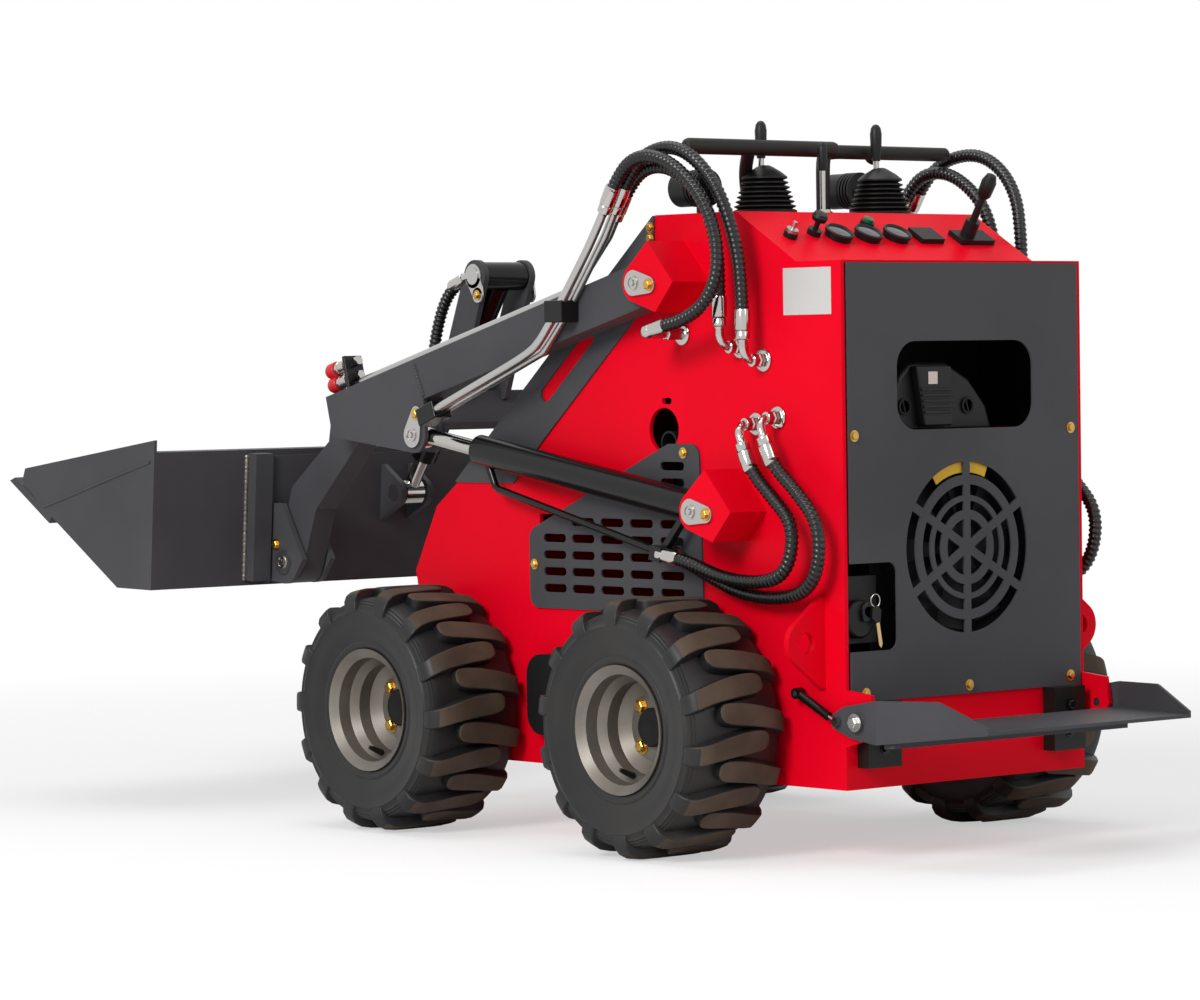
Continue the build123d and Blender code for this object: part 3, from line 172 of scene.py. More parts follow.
SLOTS = {
    "red_paint": red, "grey_paint": grey, "black_paint": black, "silver_paint": silver,
    "black_plastic": plastic, "black_rubber": rubber, "tyre_rubber": tyre_rubber,
    "chrome_rod": chrome, "zinc_steel": zinc, "engine_iron": iron,
}

# Tools for the pieces


def soften(piece, width, segments=2, angle=35):
    """Round off a piece's edges, by a width in mm."""
    bevel = piece.modifiers.new("edges", "BEVEL")
    bevel.width = width / 1000
    bevel.segments = segments
    bevel.limit_method = "ANGLE"
    bevel.angle_limit = radians(angle)
    bevel.harden_normals = True
    return piece


def solid(name, verts, faces, material, body, smooth=38):
    """Mesh piece from points in metres, riding on a body."""
    mesh = bpy.data.meshes.new(name)
    mesh.from_pydata([tuple(v) for v in verts], [], faces)
    mesh.validate()
    shell = bmesh.new()
    shell.from_mesh(mesh)
    bmesh.ops.recalc_face_normals(shell, faces=shell.faces)
    shell.to_mesh(mesh)
    shell.free()
    mesh.update()
    mesh.materials.append(material)
    mesh.shade_smooth()
    mesh.set_sharp_from_angle(angle=radians(smooth))
    piece = bpy.data.objects.new(name, mesh)
    bpy.context.scene.collection.objects.link(piece)
    if body:
        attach(piece, body)
    return piece


def basis(axis):
    """An axis as a unit vector, and two unit vectors square to it."""
    axis = Vector(axis).normalized()
    helper = Vector((0, 0, 1)) if abs(axis.z) < 0.9 else Vector((1, 0, 0))
    u = helper.cross(axis).normalized()
    return axis, u, axis.cross(u)


def turned(parts, profile, origin, axis, steps=32):
    """Add a body of revolution to (verts, faces): profile is (radius, height) in mm."""
    verts, faces = parts
    axis, u, v = basis(axis)
    first = len(verts)
    for radius, height in profile:
        for k in range(steps):
            turn = 2 * pi * k / steps
            verts.append(origin + (axis * height + (u * cos(turn) + v * sin(turn)) * radius) / 1000)
    for ring in range(len(profile) - 1):
        for k in range(steps):
            a = first + ring * steps + k
            b = first + ring * steps + (k + 1) % steps
            faces.append((a, b, b + steps, a + steps))
    for ring, turned_over in ((0, True), (len(profile) - 1, False)):
        if profile[ring][0] > 0.01:
            loop = [first + ring * steps + k for k in range(steps)]
            faces.append(loop[::-1] if turned_over else loop)
    return parts


def lathe(name, profile, origin, axis, material, body, steps=32):
    """Piece that is one body of revolution."""
    parts = turned(([], []), profile, origin, axis, steps)
    return solid(name, *parts, material, body)


def joined(parts, low, high):
    """Add a closed shape between two loops of as many points."""
    verts, faces = parts
    first = len(verts)
    count = len(low)
    verts.extend(low)
    verts.extend(high)
    faces.append(tuple(first + k for k in range(count))[::-1])
    faces.append(tuple(first + count + k for k in range(count)))
    for k in range(count):
        a = first + k
        b = first + (k + 1) % count
        faces.append((a, b, b + count, a + count))
    return parts


def prism(parts, outline, low, high):
    """Add a flat shape of (y, z) points in mm, between two places along the machine."""
    return joined(parts, [at(low, y, z) for y, z in outline], [at(high, y, z) for y, z in outline])


def slab(parts, outline, low, high):
    """Add a flat shape of (x, z) points in mm, between two places across the machine."""
    return joined(parts, [at(x, low, z) for x, z in outline], [at(x, high, z) for x, z in outline])


def block(parts, low, high):
    """Add a box between two points in mm."""
    outline = [(low[1], low[2]), (high[1], low[2]), (high[1], high[2]), (low[1], high[2])]
    return prism(parts, outline, low[0], high[0])


def route(points, steps=40):
    """Points in metres along the spline that rounds off a row of points in mm."""
    line = bpy.data.curves.new("route", "CURVE")
    line.dimensions = "3D"
    line.resolution_u = steps
    spline = line.splines.new("NURBS")
    spline.points.add(len(points) - 1)
    for knot, point in zip(spline.points, points):
        knot.co = (*at(*point), 1)
    spline.order_u = 3
    spline.use_endpoint_u = True
    holder = bpy.data.objects.new("route", line)
    mesh = bpy.data.meshes.new_from_object(holder)
    path = [vert.co.copy() for vert in mesh.vertices]
    bpy.data.objects.remove(holder)
    bpy.data.curves.remove(line)
    bpy.data.meshes.remove(mesh)
    return path


def pipe(parts, path, radius, steps=14):
    """Add a round tube along a path; radius in mm may be a function of the length so far and the turn."""
    verts, faces = parts
    first = len(verts)
    count = len(path)
    side = None
    length = 0
    for k, point in enumerate(path):
        ahead = (path[min(k + 1, count - 1)] - path[max(k - 1, 0)]).normalized()
        if side is None:
            side = basis(ahead)[1]
        side = (side - ahead * side.dot(ahead)).normalized()
        up = ahead.cross(side)
        if k:
            length += (point - path[k - 1]).length * 1000
        for j in range(steps):
            turn = 2 * pi * j / steps
            size = radius(length, turn) if callable(radius) else radius
            verts.append(point + (side * cos(turn) + up * sin(turn)) * size / 1000)
    for k in range(count - 1):
        for j in range(steps):
            a = first + k * steps + j
            b = first + k * steps + (j + 1) % steps
            faces.append((a, b, b + steps, a + steps))
    faces.append(tuple(first + j for j in range(steps))[::-1])
    faces.append(tuple(first + (count - 1) * steps + j for j in range(steps)))
    return parts


def bolts(name, spots, axis, radius, material, body):
    """Hexagon heads on washers at points in mm."""
    parts = ([], [])
    washer = [(radius * 1.45, 0), (radius * 1.45, 1.6), (0, 1.6)]
    head = [(radius, 1.6), (radius, radius * 0.75), (radius * 0.82, radius * 0.9), (0, radius * 0.9)]
    for spot in spots:
        turned(parts, washer, at(*spot), axis, 20)
        turned(parts, head, at(*spot), axis, 6)
    return solid(name, *parts, material, body)


# CAD pieces that stay in view: finish, smooth shading and small edge breaks
EDGE_BREAK = 1.2
for entry in frame["record"]["subparts"]:
    piece = frame["nodes"][entry["node"]]
    piece.data.materials.clear()
    piece.data.materials.append(SLOTS[entry["material_slot"]])
    piece.data.shade_smooth()
    piece.data.set_sharp_from_angle(angle=radians(32))
    soften(piece, EDGE_BREAK, 2, 40)
frame["nodes"]["exhaust"].data.materials[0] = iron

# Tyres: carcass with shoulder ribs and long curved lugs, in two halves set half a step apart
LUGS = 14
# Outer wall from bead to crown, as (radius, height off the middle)
OUTER_WALL = [
    (104, 86), (113, 94), (124, 98), (129, 98.5), (131, 97), (146, 102), (162, 105), (182, 105.5),
    (184, 107), (186, 105), (193, 102), (196, 103), (198, 100), (201, 100.5), (203, 96.5), (205.5, 96.5),
    (207, 92), (209, 84), (211.5, 60),
]
CARCASS = [(radius, -height) for radius, height in OUTER_WALL] + [(212, 0)] + OUTER_WALL[::-1]
# Sections of a lug: (height, radius) of its top and of its foot, lag and half width in degrees
LUG_STATIONS = [
    ((105.5, 182), (98, 178), 0, 4.2), ((107.8, 194), (97, 188), 0.1, 4.5),
    ((105, 209), (93, 198), 0.5, 4.6), ((97, 220), (86, 204), 1.1, 4.5),
    ((84, 227), (76, 207), 2.0, 4.4), ((64, 229.6), (60, 209), 3.2, 4.5),
    ((40, 230), (40, 209), 4.4, 4.8), ((10, 230), (10, 209), 5.6, 5.0),
    ((-18, 230), (-18, 209), 6.3, 5.0), ((-36, 229.8), (-36, 209), 6.6, 4.7),
    ((-46, 229.5), (-46, 209), 6.8, 4.0), ((-52, 229), (-51, 209), 6.9, 2.8),
    ((-55, 228), (-54, 209), 6.9, 1.2),
]
LUG_FLARE = 1.4
LUG_TOP = (-1, -0.36, 0.36, 1)
LUG_ACROSS = len(LUG_TOP) + 2
FRONT_TURN = 2.5
REAR_TURN = 10.3


def lug(parts, turn, side):
    """One lug from the side wall over the shoulder to past the middle of the tread."""
    verts, faces = parts
    first = len(verts)
    for (top_h, top_r), (foot_h, foot_r), lag, half in LUG_STATIONS:
        row = [(foot_h, foot_r, -half - LUG_FLARE)]
        row += [(top_h, top_r, half * share) for share in LUG_TOP]
        row += [(foot_h, foot_r, half + LUG_FLARE)]
        for height, radius, swing in row:
            angle = radians(turn - lag + swing)
            verts.append((radius * cos(angle) / 1000, side * height / 1000, radius * sin(angle) / 1000))
    rows = len(LUG_STATIONS)
    for k in range(rows - 1):
        for j in range(LUG_ACROSS):
            a = first + LUG_ACROSS * k + j
            b = first + LUG_ACROSS * k + (j + 1) % LUG_ACROSS
            faces.append((a, b, b + LUG_ACROSS, a + LUG_ACROSS))
    faces.append(tuple(first + j for j in range(LUG_ACROSS))[::-1])
    faces.append(tuple(first + LUG_ACROSS * (rows - 1) + j for j in range(LUG_ACROSS)))


def tyre(corner, end, side):
    """Carcass, open at its beads, and its lugs with brown tops."""
    body = "wheel_" + corner
    centre = at(end * WHEEL_X, side * WHEEL_Y, TYRE_R)
    shell = turned(([], []), CARCASS, Vector(), (0, 1, 0), 112)
    shell[1].pop()
    shell[1].pop()
    verts = [centre + Vector(v) for v in shell[0]]
    carcass = solid("tyre_carcass_" + corner, verts, shell[1], tyre_rubber, body, 50)
    parts = ([], [])
    start = REAR_TURN if end < 0 else FRONT_TURN
    for k in range(LUGS):
        lug(parts, start + 360 * k / LUGS, side)
        lug(parts, start + 360 * (k + 0.5) / LUGS, -side)
    verts = [centre + Vector(v) for v in parts[0]]
    lugs = solid("tyre_lugs_" + corner, verts, parts[1], tyre_rubber, body)
    lugs.data.materials.append(tread_rubber)
    for face in lugs.data.polygons:
        place = face.center - centre
        spoke = Vector((place.x, 0, place.z))
        if spoke.length > 0.2 and face.normal.dot(spoke.normalized()) > 0.75:
            face.material_index = 1
    soften(lugs, 3.2, 2, 28)
    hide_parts("tyre_" + corner)


# Wheel nuts, hub cap and valve of each wheel
HUB_FACE_Y = 425
NUT_CIRCLE = 50
HUB_CAP = [(35, 0), (35, 9), (32, 12), (16, 12.5), (13, 11), (0, 11)]
VALVE = [(6, 0), (5, 20), (3.6, 30), (0, 31)]
VALVE_AHEAD = 10
VALVE_Y = 468
VALVE_DROP = 84
for corner, end, side in WHEELS:
    tyre(corner, end, side)
    body = "wheel_" + corner
    out = (0, side, 0)
    x = end * WHEEL_X
    nuts = []
    for k in range(4):
        turn = pi / 4 + k * pi / 2
        nuts.append((x + NUT_CIRCLE * cos(turn), HUB_FACE_Y * side, TYRE_R + NUT_CIRCLE * sin(turn)))
    bolts("wheel_nuts_" + corner, nuts, out, 11, gold, body)
    lathe("hub_cap_" + corner, HUB_CAP, at(x, HUB_FACE_Y * side, TYRE_R), out, iron, body)
    seat = at(x + VALVE_AHEAD, VALVE_Y * side, TYRE_R - VALVE_DROP)
    lathe("valve_" + corner, VALVE, seat, (0.15, side, 0.45), rubber, body)

# Small fastenings on the body, its cheeks and the lift brackets
PANEL_SCREWS = [(PANEL_X, y, z) for y, z in ((274, 743), (-265, 747), (253, 296), (0, 297), (-258, 300))]
WALL_SCREWS = ((-308, 712), (114, 502), (-226, 1118), (-226, 1098))
WALL_SCREW_Y = WALL_Y + 4
CHEEK_BOLTS = ((-320, 1013), (-464, 607))
LIFT_KEEPER_BOLT = (381, 783)
STOP_X = -746
STOP_Y = 231
STOP_BOLTS_Z = (202, 250)
bolts("panel_screws", PANEL_SCREWS, (-1, 0, 0), 7, gold, "chassis")
for label, side in SIDES:
    out = (0, side, 0)
    spots = [(x, WALL_SCREW_Y * side, z) for x, z in WALL_SCREWS]
    bolts("wall_screws_" + label, spots, out, 7, gold, "chassis")
    spots = [(x, CHEEK_FACE_Y * side, z) for x, z in CHEEK_BOLTS]
    bolts("keeper_bolts_" + label, spots, out, 8, gold, "chassis")
    spots = [(LIFT_KEEPER_BOLT[0], BRACKET_FACE_Y * side, LIFT_KEEPER_BOLT[1])]
    bolts("lift_keeper_bolt_" + label, spots, out, 8, gold, "lift_arms")
    spots = [(STOP_X, STOP_Y * side, z) for z in STOP_BOLTS_Z]
    bolts("stop_bolts_" + label, spots, (-1, 0, 0), 8, black, "chassis")

# Hoses: each runs between two bodies; its end sleeves ride on those bodies, and the hose itself rides on
# neither
HOSE_R = 11.3
GUARD_RELIEF = 1.2
GUARD_PITCH = 9.5
SLEEVE = [
    (7.5, -20), (9, -16), (12.5, -14), (12.5, -2), (11, 0), (13.6, 2), (13.6, 34), (12.4, 38), (10.5, 38),
]


def spiral(length, turn):
    """Radius of a hose in its spiral guard, in mm."""
    return HOSE_R + GUARD_RELIEF * sin(2 * pi * length / GUARD_PITCH + turn)


def hose(name, side, points, bodies, nodes):
    """Guarded hose between two bodies with a crimped sleeve at each end; its points are the left side's."""
    path = route([(x, y * side, z) for x, y, z in points])
    piece = solid(name, *pipe(([], []), path, spiral, 16), guard, None, 60)
    first, last = bodies
    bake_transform(piece)
    if nodes:
        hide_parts(*nodes)
    for tag, k, ahead, body in (("start", 0, 1, first), ("end", -1, -2, last)):
        lathe(name + "_sleeve_" + tag, SLEEVE, path[k], path[ahead] - path[k], chrome, body, 24)


ARM_HOSE_LOW = [
    (-196, 350, 1146), (-222, 350, 1186), (-272, 350, 1226), (-350, 350, 1220), (-430, 349, 1160),
    (-460, 348, 1070), (-461, 348, 1000), (-461, 348, 952),
]
ARM_HOSE_HIGH = [
    (-215, 370, 1158), (-242, 370, 1200), (-298, 374, 1250), (-400, 380, 1258), (-486, 374, 1190),
    (-518, 356, 1080), (-521, 348, 990), (-521, 348, 928),
]
ARM_HOSE_OUTER = [
    (-215, 395, 1158), (-238, 395, 1196), (-292, 400, 1240), (-372, 402, 1240), (-452, 398, 1190),
    (-500, 390, 1110), (-504, 388, 1030), (-468, 388, 975), (-410, 390, 948), (-366, 392, 940),
    (-330, 392, 932),
]
LIFT_HOSE_FRONT = [
    (-522, 348, 717), (-538, 348, 682), (-590, 349, 640), (-648, 351, 592), (-640, 352, 520),
    (-590, 351, 488), (-470, 349, 490), (-367, 349, 522), (-308, 349, 530),
]
LIFT_HOSE_REAR = [
    (-578, 348, 728), (-594, 348, 693), (-650, 348, 652), (-710, 347, 592), (-700, 342, 505),
    (-640, 335, 462), (-500, 327, 460), (-375, 325, 504), (-308, 325, 530),
]
ARM_TO_BODY = ("lift_arms", "chassis")
for label, side in SIDES:
    to_cylinder = ("chassis", "lift_cylinder_" + label)
    arm_nodes = ["arm_hoses_" + label]
    lift_nodes = ["lift_hoses_" + label]
    hose("arm_hose_low_" + label, side, ARM_HOSE_LOW, ARM_TO_BODY, arm_nodes)
    hose("arm_hose_high_" + label, side, ARM_HOSE_HIGH, ARM_TO_BODY, arm_nodes)
    hose("lift_hose_front_" + label, side, LIFT_HOSE_FRONT, to_cylinder, lift_nodes)
    hose("lift_hose_rear_" + label, side, LIFT_HOSE_REAR, to_cylinder, lift_nodes)
hose("arm_hose_outer_left", 1, ARM_HOSE_OUTER, ARM_TO_BODY, [])

# Third steel pipe on the left arm, and the block on each lift bracket that the lower pipes end in; the
# block's black is partly painted shade for the dark gap by the bracket plates
PIPE_R = 8
OUTER_PIPE_Y = 395
PIPE_END = (289, 791)
PIPE_BENDS = ((150, 842), (20, 889), (-20, 912), (-60, 956), (-109, 1015), (-181, 1104), (-215, 1158))
OUTER_PIPE = [(x, OUTER_PIPE_Y, z) for x, z in (PIPE_END, *PIPE_BENDS)]
PIPE_DROP = radians(20)
END_BLOCK = ((-8, -17), (46, -17), (46, 17), (-8, 17))
# Reach across the three pipes of the left arm, and across the two of the right
THREE_PIPES_Y = 405
TWO_PIPES_Y = 384
outer_pipe = pipe(([], []), route(OUTER_PIPE, 12), PIPE_R, 16)
solid("arm_pipe_outer", *outer_pipe, zinc, "lift_arms")
for label, side in SIDES:
    outline = []
    for along, off in END_BLOCK:
        x = PIPE_END[0] + along * cos(PIPE_DROP) + off * sin(PIPE_DROP)
        z = PIPE_END[1] - along * sin(PIPE_DROP) + off * cos(PIPE_DROP)
        outline.append((x, z))
    outer_y = THREE_PIPES_Y if side > 0 else TWO_PIPES_Y
    ends = slab(([], []), outline, (ARM_OUTER_Y + 0.1) * side, outer_y * side)
    soften(solid("pipe_end_block_" + label, *ends, black, "lift_arms"), 3)

# Bent steel fittings between the walls and the hose ends
ELBOW_FLANGE = [(20, 0), (20, 4), (17, 6), (14, 6), (14, 4)]
ELBOW_NUT = [(13, 4), (13, 16), (11, 18), (0, 18)]
ELBOW_COLLAR = [(11, 20), (11, 31), (9.5, 32), (0, 32)]
ELBOW_BEND = 26
ELBOW_TUBE_R = 7.5


def fitting(parts, x, z, side, ahead, rise):
    """Flange, nut and bent tube: the tube leaves the wall square and turns along the wall."""
    out = (0, side, 0)
    seat = at(x, WALL_Y * side, z)
    turned(parts, ELBOW_FLANGE, seat, out, 28)
    turned(parts, ELBOW_NUT, seat, out, 6)
    turned(parts, ELBOW_COLLAR, seat, out, 24)
    bend_y = WALL_Y + 25
    bend = [at(x, (WALL_Y + 3) * side, z), at(x, bend_y * side, z)]
    for k in range(1, 10):
        turn = k * pi / 18
        along = ELBOW_BEND * (1 - cos(turn))
        bend.append(at(x + ahead * along, (bend_y + ELBOW_BEND * sin(turn)) * side, z + rise * along))
    reach = ELBOW_BEND + 10
    bend.append(at(x + ahead * reach, (bend_y + ELBOW_BEND) * side, z + rise * reach))
    pipe(parts, bend, ELBOW_TUBE_R, 16)


elbows = ([], [])
for label, side in SIDES:
    for x, z in ((-461, 900), (-521, 876)):
        fitting(elbows, x, z, side, 0, 1)
    for x, z in ((-500, 764), (-556, 775)):
        fitting(elbows, x, z, side, -0.42, -0.91)
elbow_piece = solid("wall_elbows", *elbows, chrome, "chassis")
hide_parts("wall_fittings")
outer_elbow = ([], [])
outer_seat = at(-306, WALL_Y, 925)
turned(outer_elbow, [(20, 0), (20, 4), (17, 6), (0, 6)], outer_seat, (0, 1, 0), 28)
turned(outer_elbow, [(12, 6), (12, 40), (10, 42), (0, 42)], outer_seat, (0, 1, 0), 6)
outer_bend = [(-306, 300, 925), (-306, 380, 925), (-306, 392, 926), (-330, 392, 932)]
pipe(outer_elbow, route(outer_bend, 12), ELBOW_TUBE_R, 16)
solid("outer_elbow", *outer_elbow, chrome, "chassis")

# Controls on the deck
BOOT_X = -362
LEVER_X = -353
LEVER_Y = 144
BELLOWS = [(58, 0), (58, 5), (55, 7)]
for step in range(6):
    outer = 56 - 2.7 * step
    low = 8.5 + 8.5 * step
    BELLOWS += [(outer - 7, low), (outer, low + 3.5), (outer, low + 5.5)]
BELLOWS += [(33, 60), (41, 63), (41, 66), (30, 75), (15, 84), (9, 87), (0, 87)]
LEVER_KNOB = [(7.5, 100), (8.5, 106), (10.5, 130), (11, 150), (9, 161), (5, 166.5), (0, 168)]
CENTRE_KNOB = [(7, 76), (8.5, 80), (9, 112), (8, 122), (4, 127), (0, 128)]
boots = ([], [])
rods = ([], [])
knobs = ([], [])
for label, side in SIDES:
    lever = at(LEVER_X, LEVER_Y * side, DECK_TOP)
    turned(boots, BELLOWS, at(BOOT_X, LEVER_Y * side, DECK_TOP), (0, 0, 1), 40)
    turned(rods, [(5.5, 80), (5.5, 128)], lever, (0, 0, 1), 16)
    turned(knobs, LEVER_KNOB, lever, (0, 0, 1), 24)
boot_piece = solid("boots", *boots, rubber, "chassis", 50)
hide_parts("lever_boots")
solid("drive_lever_rods", *rods, chrome, "chassis")
knob_piece = solid("drive_lever_knobs", *knobs, plastic, "chassis")
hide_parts("drive_levers")
lathe("centre_knob", CENTRE_KNOB, at(-425, 60, DECK_TOP), (0, 0, 1), plastic, "chassis")

# Padded hand bars: the rear one rests on a slanting strut, the front one bends down to the deck
BAR_Z = 1257
REAR_BAR_X = -385
FRONT_BAR_X = -322
FRONT_BAR_R = 13
REAR_BAR = [(0, 0), (8, 1.5), (12.5, 5), (14.5, 11), (14.5, 361), (12.5, 367), (8, 370.5), (0, 372)]
STRUT_R = 12
STRUT = [(-296, 120, 1138), (-298, 128, 1168), (-332, 166, 1224), (REAR_BAR_X, 202, 1252)]
FRONT_BAR = [
    (FRONT_BAR_X, y, z) for y, z in (
        (-38, 1138), (-38, 1190), (-38, 1232), (-42, 1252), (-64, BAR_Z), (-110, BAR_Z), (-352, BAR_Z),
    )
]
bars = ([], [])
turned(bars, REAR_BAR, at(REAR_BAR_X, -14, BAR_Z), (0, 1, 0), 28)
pipe(bars, route(STRUT, 10), STRUT_R, 20)
pipe(bars, route(FRONT_BAR, 12), FRONT_BAR_R, 24)
tip = [(FRONT_BAR_R, 0), (11, 3.5), (6, 5.6), (0, 6)]
turned(bars, tip, at(FRONT_BAR_X, -352, BAR_Z), (0, -1, 0), 24)
foot = [(19, 0), (19, 5), (14, 8), (FRONT_BAR_R, 12)]
turned(bars, foot, at(FRONT_BAR_X, -38, DECK_TOP), (0, 0, 1), 28)
pipe(bars, [at(REAR_BAR_X, 4, BAR_Z - 3), at(FRONT_BAR_X, -58, BAR_Z - 3)], 9, 16)
turned(bars, [(11, 0), (11, 20)], at(FRONT_BAR_X, -172, BAR_Z), (1, 0, -1), 20)
bar_piece = solid("padded_bars", *bars, grip, "chassis", 50)
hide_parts("hand_bars")

# Faces of the gauges and switches on the dash
DASH_UP = Vector((155, 0, 93)).normalized()
DASH_OUT = Vector((-93, 0, 155)).normalized()
DASH_SKIN = 4
GAUGES_Y = (124, 52, -19)
GAUGE_RIM = [(27, 8), (27, 13), (24, 15), (21, 12), (21, 11)]
GAUGE_GLASS = [(21, 10.5), (21, 11.6), (0, 12.4)]


def on_dash(y, along):
    """Point on the sloping dash: across and up the slope from its middle, in mm."""
    return at(-527.5, y, 1089.5) + (DASH_UP * along + DASH_OUT * DASH_SKIN) / 1000


def dash_knob(name, profile, y, along, material):
    """Turned knob that stands square on the dash."""
    lathe(name, profile, on_dash(y, along), DASH_OUT, material, "chassis", 24)


rims = ([], [])
glasses = ([], [])
for y in GAUGES_Y:
    turned(rims, GAUGE_RIM, on_dash(y, 0), DASH_OUT, 36)
    turned(glasses, GAUGE_GLASS, on_dash(y, 0), DASH_OUT, 36)
solid("gauge_rims", *rims, plastic, "chassis")
solid("gauge_glasses", *glasses, dial_glass, "chassis")
dash_knob("start_button", [(9, 9), (9, 16), (0, 17)], 19, 42, green_plastic)
dash_knob("aux_knob", [(9, 88), (13, 94), (14, 120), (9, 134), (0, 137)], -192, -6, plastic)
dash_knob("throttle_knob", [(5, 8), (5, 26), (13, 28), (15, 36), (12, 42), (0, 43)], 175, 10, plastic)
dash_knob("key_switch", [(11, 9), (11, 16), (4, 16), (4, 30), (0, 30)], 240, 0, zinc)

# Work lamps: finned backs and lenses
LAMP = (-232, 191, 1190)
LAMP_LENS = [(29, 43.5), (29, 45.5), (0, 48)]
FINS = 5
FIN_R = 34
FIN_T = 4
FIN_STEP = 8
FIRST_FIN = -30
fins = ([], [])
lenses = ([], [])
for label, side in SIDES:
    lamp = at(LAMP[0], LAMP[1] * side, LAMP[2])
    for k in range(FINS):
        back = FIRST_FIN + FIN_STEP * k
        turned(fins, [(FIN_R, back), (FIN_R, back + FIN_T)], lamp, (1, 0, 0), 32)
    turned(lenses, LAMP_LENS, lamp, (1, 0, 0), 32)
solid("lamp_fins", *fins, plastic, "chassis")
solid("lamp_lenses", *lenses, lens, "chassis")

# Blank plate on the left wall
PLATE_T = 1.2
blank = block(([], []), (-694, WALL_Y, 954), (-573, WALL_Y + PLATE_T, 1036))
soften(solid("blank_plate", *blank, bare_plate, "chassis"), 0.4)

# Cooling fan behind the grille, and the blank yellow band above it
FAN_Z = 541
FAN_X = -712
BLADES = 9
# Corners of a blade as (radius, lean in radians, depth); the first sets how the twisted face is split
BLADE = ((146, -0.16, 4), (146, 0.16, 26), (40, 0.2, 26), (40, -0.16, 0))
BLADE_T = Vector((0.002, 0, 0))
blades = ([], [])
for k in range(BLADES):
    turn = 2 * pi * k / BLADES
    face = []
    for radius, lean, depth in BLADE:
        face.append(at(FAN_X + depth, radius * cos(turn + lean), FAN_Z + radius * sin(turn + lean)))
    joined(blades, face, [corner + BLADE_T for corner in face])
turned(blades, [(44, 0), (44, 34), (0, 36)], at(FAN_X + 6, 0, FAN_Z), (1, 0, 0), 32)
solid("cooling_fan", *blades, iron, "chassis")
BAND_STEPS = 12
BAND_START = 112
BAND_STEP = 4.5
BAND_RADII = (132, 160)
BAND_X = (-716.5, -714.5)
band = ([], [])
for k in range(BAND_STEPS + 1):
    turn = radians(BAND_START - BAND_STEP * k)
    for radius in BAND_RADII:
        for x in BAND_X:
            band[0].append(at(x, radius * cos(turn), FAN_Z + radius * sin(turn)))
for k in range(BAND_STEPS):
    first = 4 * k
    for a, b in ((0, 1), (1, 3), (3, 2), (2, 0)):
        band[1].append((first + a, first + b, first + b + 4, first + a + 4))
last = 4 * BAND_STEPS
band[1].extend([(0, 2, 3, 1), (last, last + 1, last + 3, last + 2)])
solid("blank_engine_band", *band, band_yellow, "chassis")

# Pipe clamps on the arms
CLAMP_LOW = (-96, 950)
CLAMP_HIGH = (-46, 990)
for label, side in SIDES:
    low = (CLAMP_LOW[0], (ARM_OUTER_Y + 0.2) * side, CLAMP_LOW[1])
    high = (CLAMP_HIGH[0], THREE_PIPES_Y * side, CLAMP_HIGH[1])
    soften(solid("pipe_clamp_" + label, *block(([], []), low, high), plastic, "lift_arms"), 3)

# Couplers on their bracket at the front of the left arm, with red dust caps
ARM_DROP = radians(14.3)
AHEAD = Vector((cos(ARM_DROP), 0, -sin(ARM_DROP)))
LIFTED = Vector((sin(ARM_DROP), 0, cos(ARM_DROP)))
COUPLER_Y = 337
COUPLER_FACE = 904
COUPLER_NUT = [(9, -26), (9, -8), (12, -6), (12, 14)]
COUPLER_BODY = [(13, 14), (13, 30), (11.5, 31), (11.5, 35), (13, 36), (13, 50), (12, 52), (0, 52)]
DUST_CAP = [(14.2, 44), (16, 46), (16, 64), (13, 70), (0, 71)]


def on_arm(along, off, y):
    """Point on an arm: along it from its pin and square off its middle line, in mm."""
    return at(ARM_PIN[0], y, ARM_PIN[1]) + (AHEAD * along + LIFTED * off) / 1000


caps = ([], [])
couplers = ([], [])
for off in (62, 90):
    place = on_arm(COUPLER_FACE, off, COUPLER_Y)
    turned(couplers, COUPLER_NUT, place, AHEAD, 6)
    turned(couplers, COUPLER_BODY, place, AHEAD, 28)
    turned(caps, DUST_CAP, place, AHEAD, 28)
plate = ((COUPLER_FACE - 8, 40), (COUPLER_FACE, 40), (COUPLER_FACE, 104), (COUPLER_FACE - 8, 104))
near = [on_arm(along, off, COUPLER_Y - 22) for along, off in plate]
far = [on_arm(along, off, COUPLER_Y + 22) for along, off in plate]
soften(solid("coupler_bracket", *joined(([], []), near, far), black, "lift_arms"), 2)
coupler_piece = solid("couplers", *couplers, chrome, "lift_arms")
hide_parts("aux_couplers")
solid("dust_caps", *caps, red_plastic, "lift_arms")

# Moulded air cleaner cover behind the window, with ribs, two screws and a blank tag
COVER = [(150, 745.5), (150, 806), (132, 846), (104, 868), (16, 868), (-42, 838), (-84, 792), (-100, 745.5)]
COVER_FACE_X = -690
BOSS_LOW_Z = 756
BOSS_LEAN = 0.18
cover = prism(([], []), COVER, COVER_FACE_X, -480)
cover_piece = soften(solid("air_cover", *cover, plastic, "chassis"), 9, 4)
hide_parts("air_cleaner")
boss = prism(([], []), [(88, BOSS_LOW_Z), (108, 862), (22, 862), (20, BOSS_LOW_Z)], -710, -688)
soften(solid("air_cover_boss", *boss, plastic, "chassis"), 4, 3)
ribs = ([], [])
for k in range(5):
    low = 778 + 10 * k
    edge = 88 + BOSS_LEAN * (low - BOSS_LOW_Z)
    prism(ribs, [(edge, low), (edge + 1, low + 5), (22, low + 5), (22, low)], -714, -708)
soften(solid("air_cover_ribs", *ribs, plastic, "chassis"), 1.5)
tag = prism(([], []), [(80, 830), (80, 852), (58, 852), (58, 830)], -710.8, -709)
soften(solid("air_cover_tag", *tag, tag_paper, "chassis"), 0.5)
cups = ([], [])
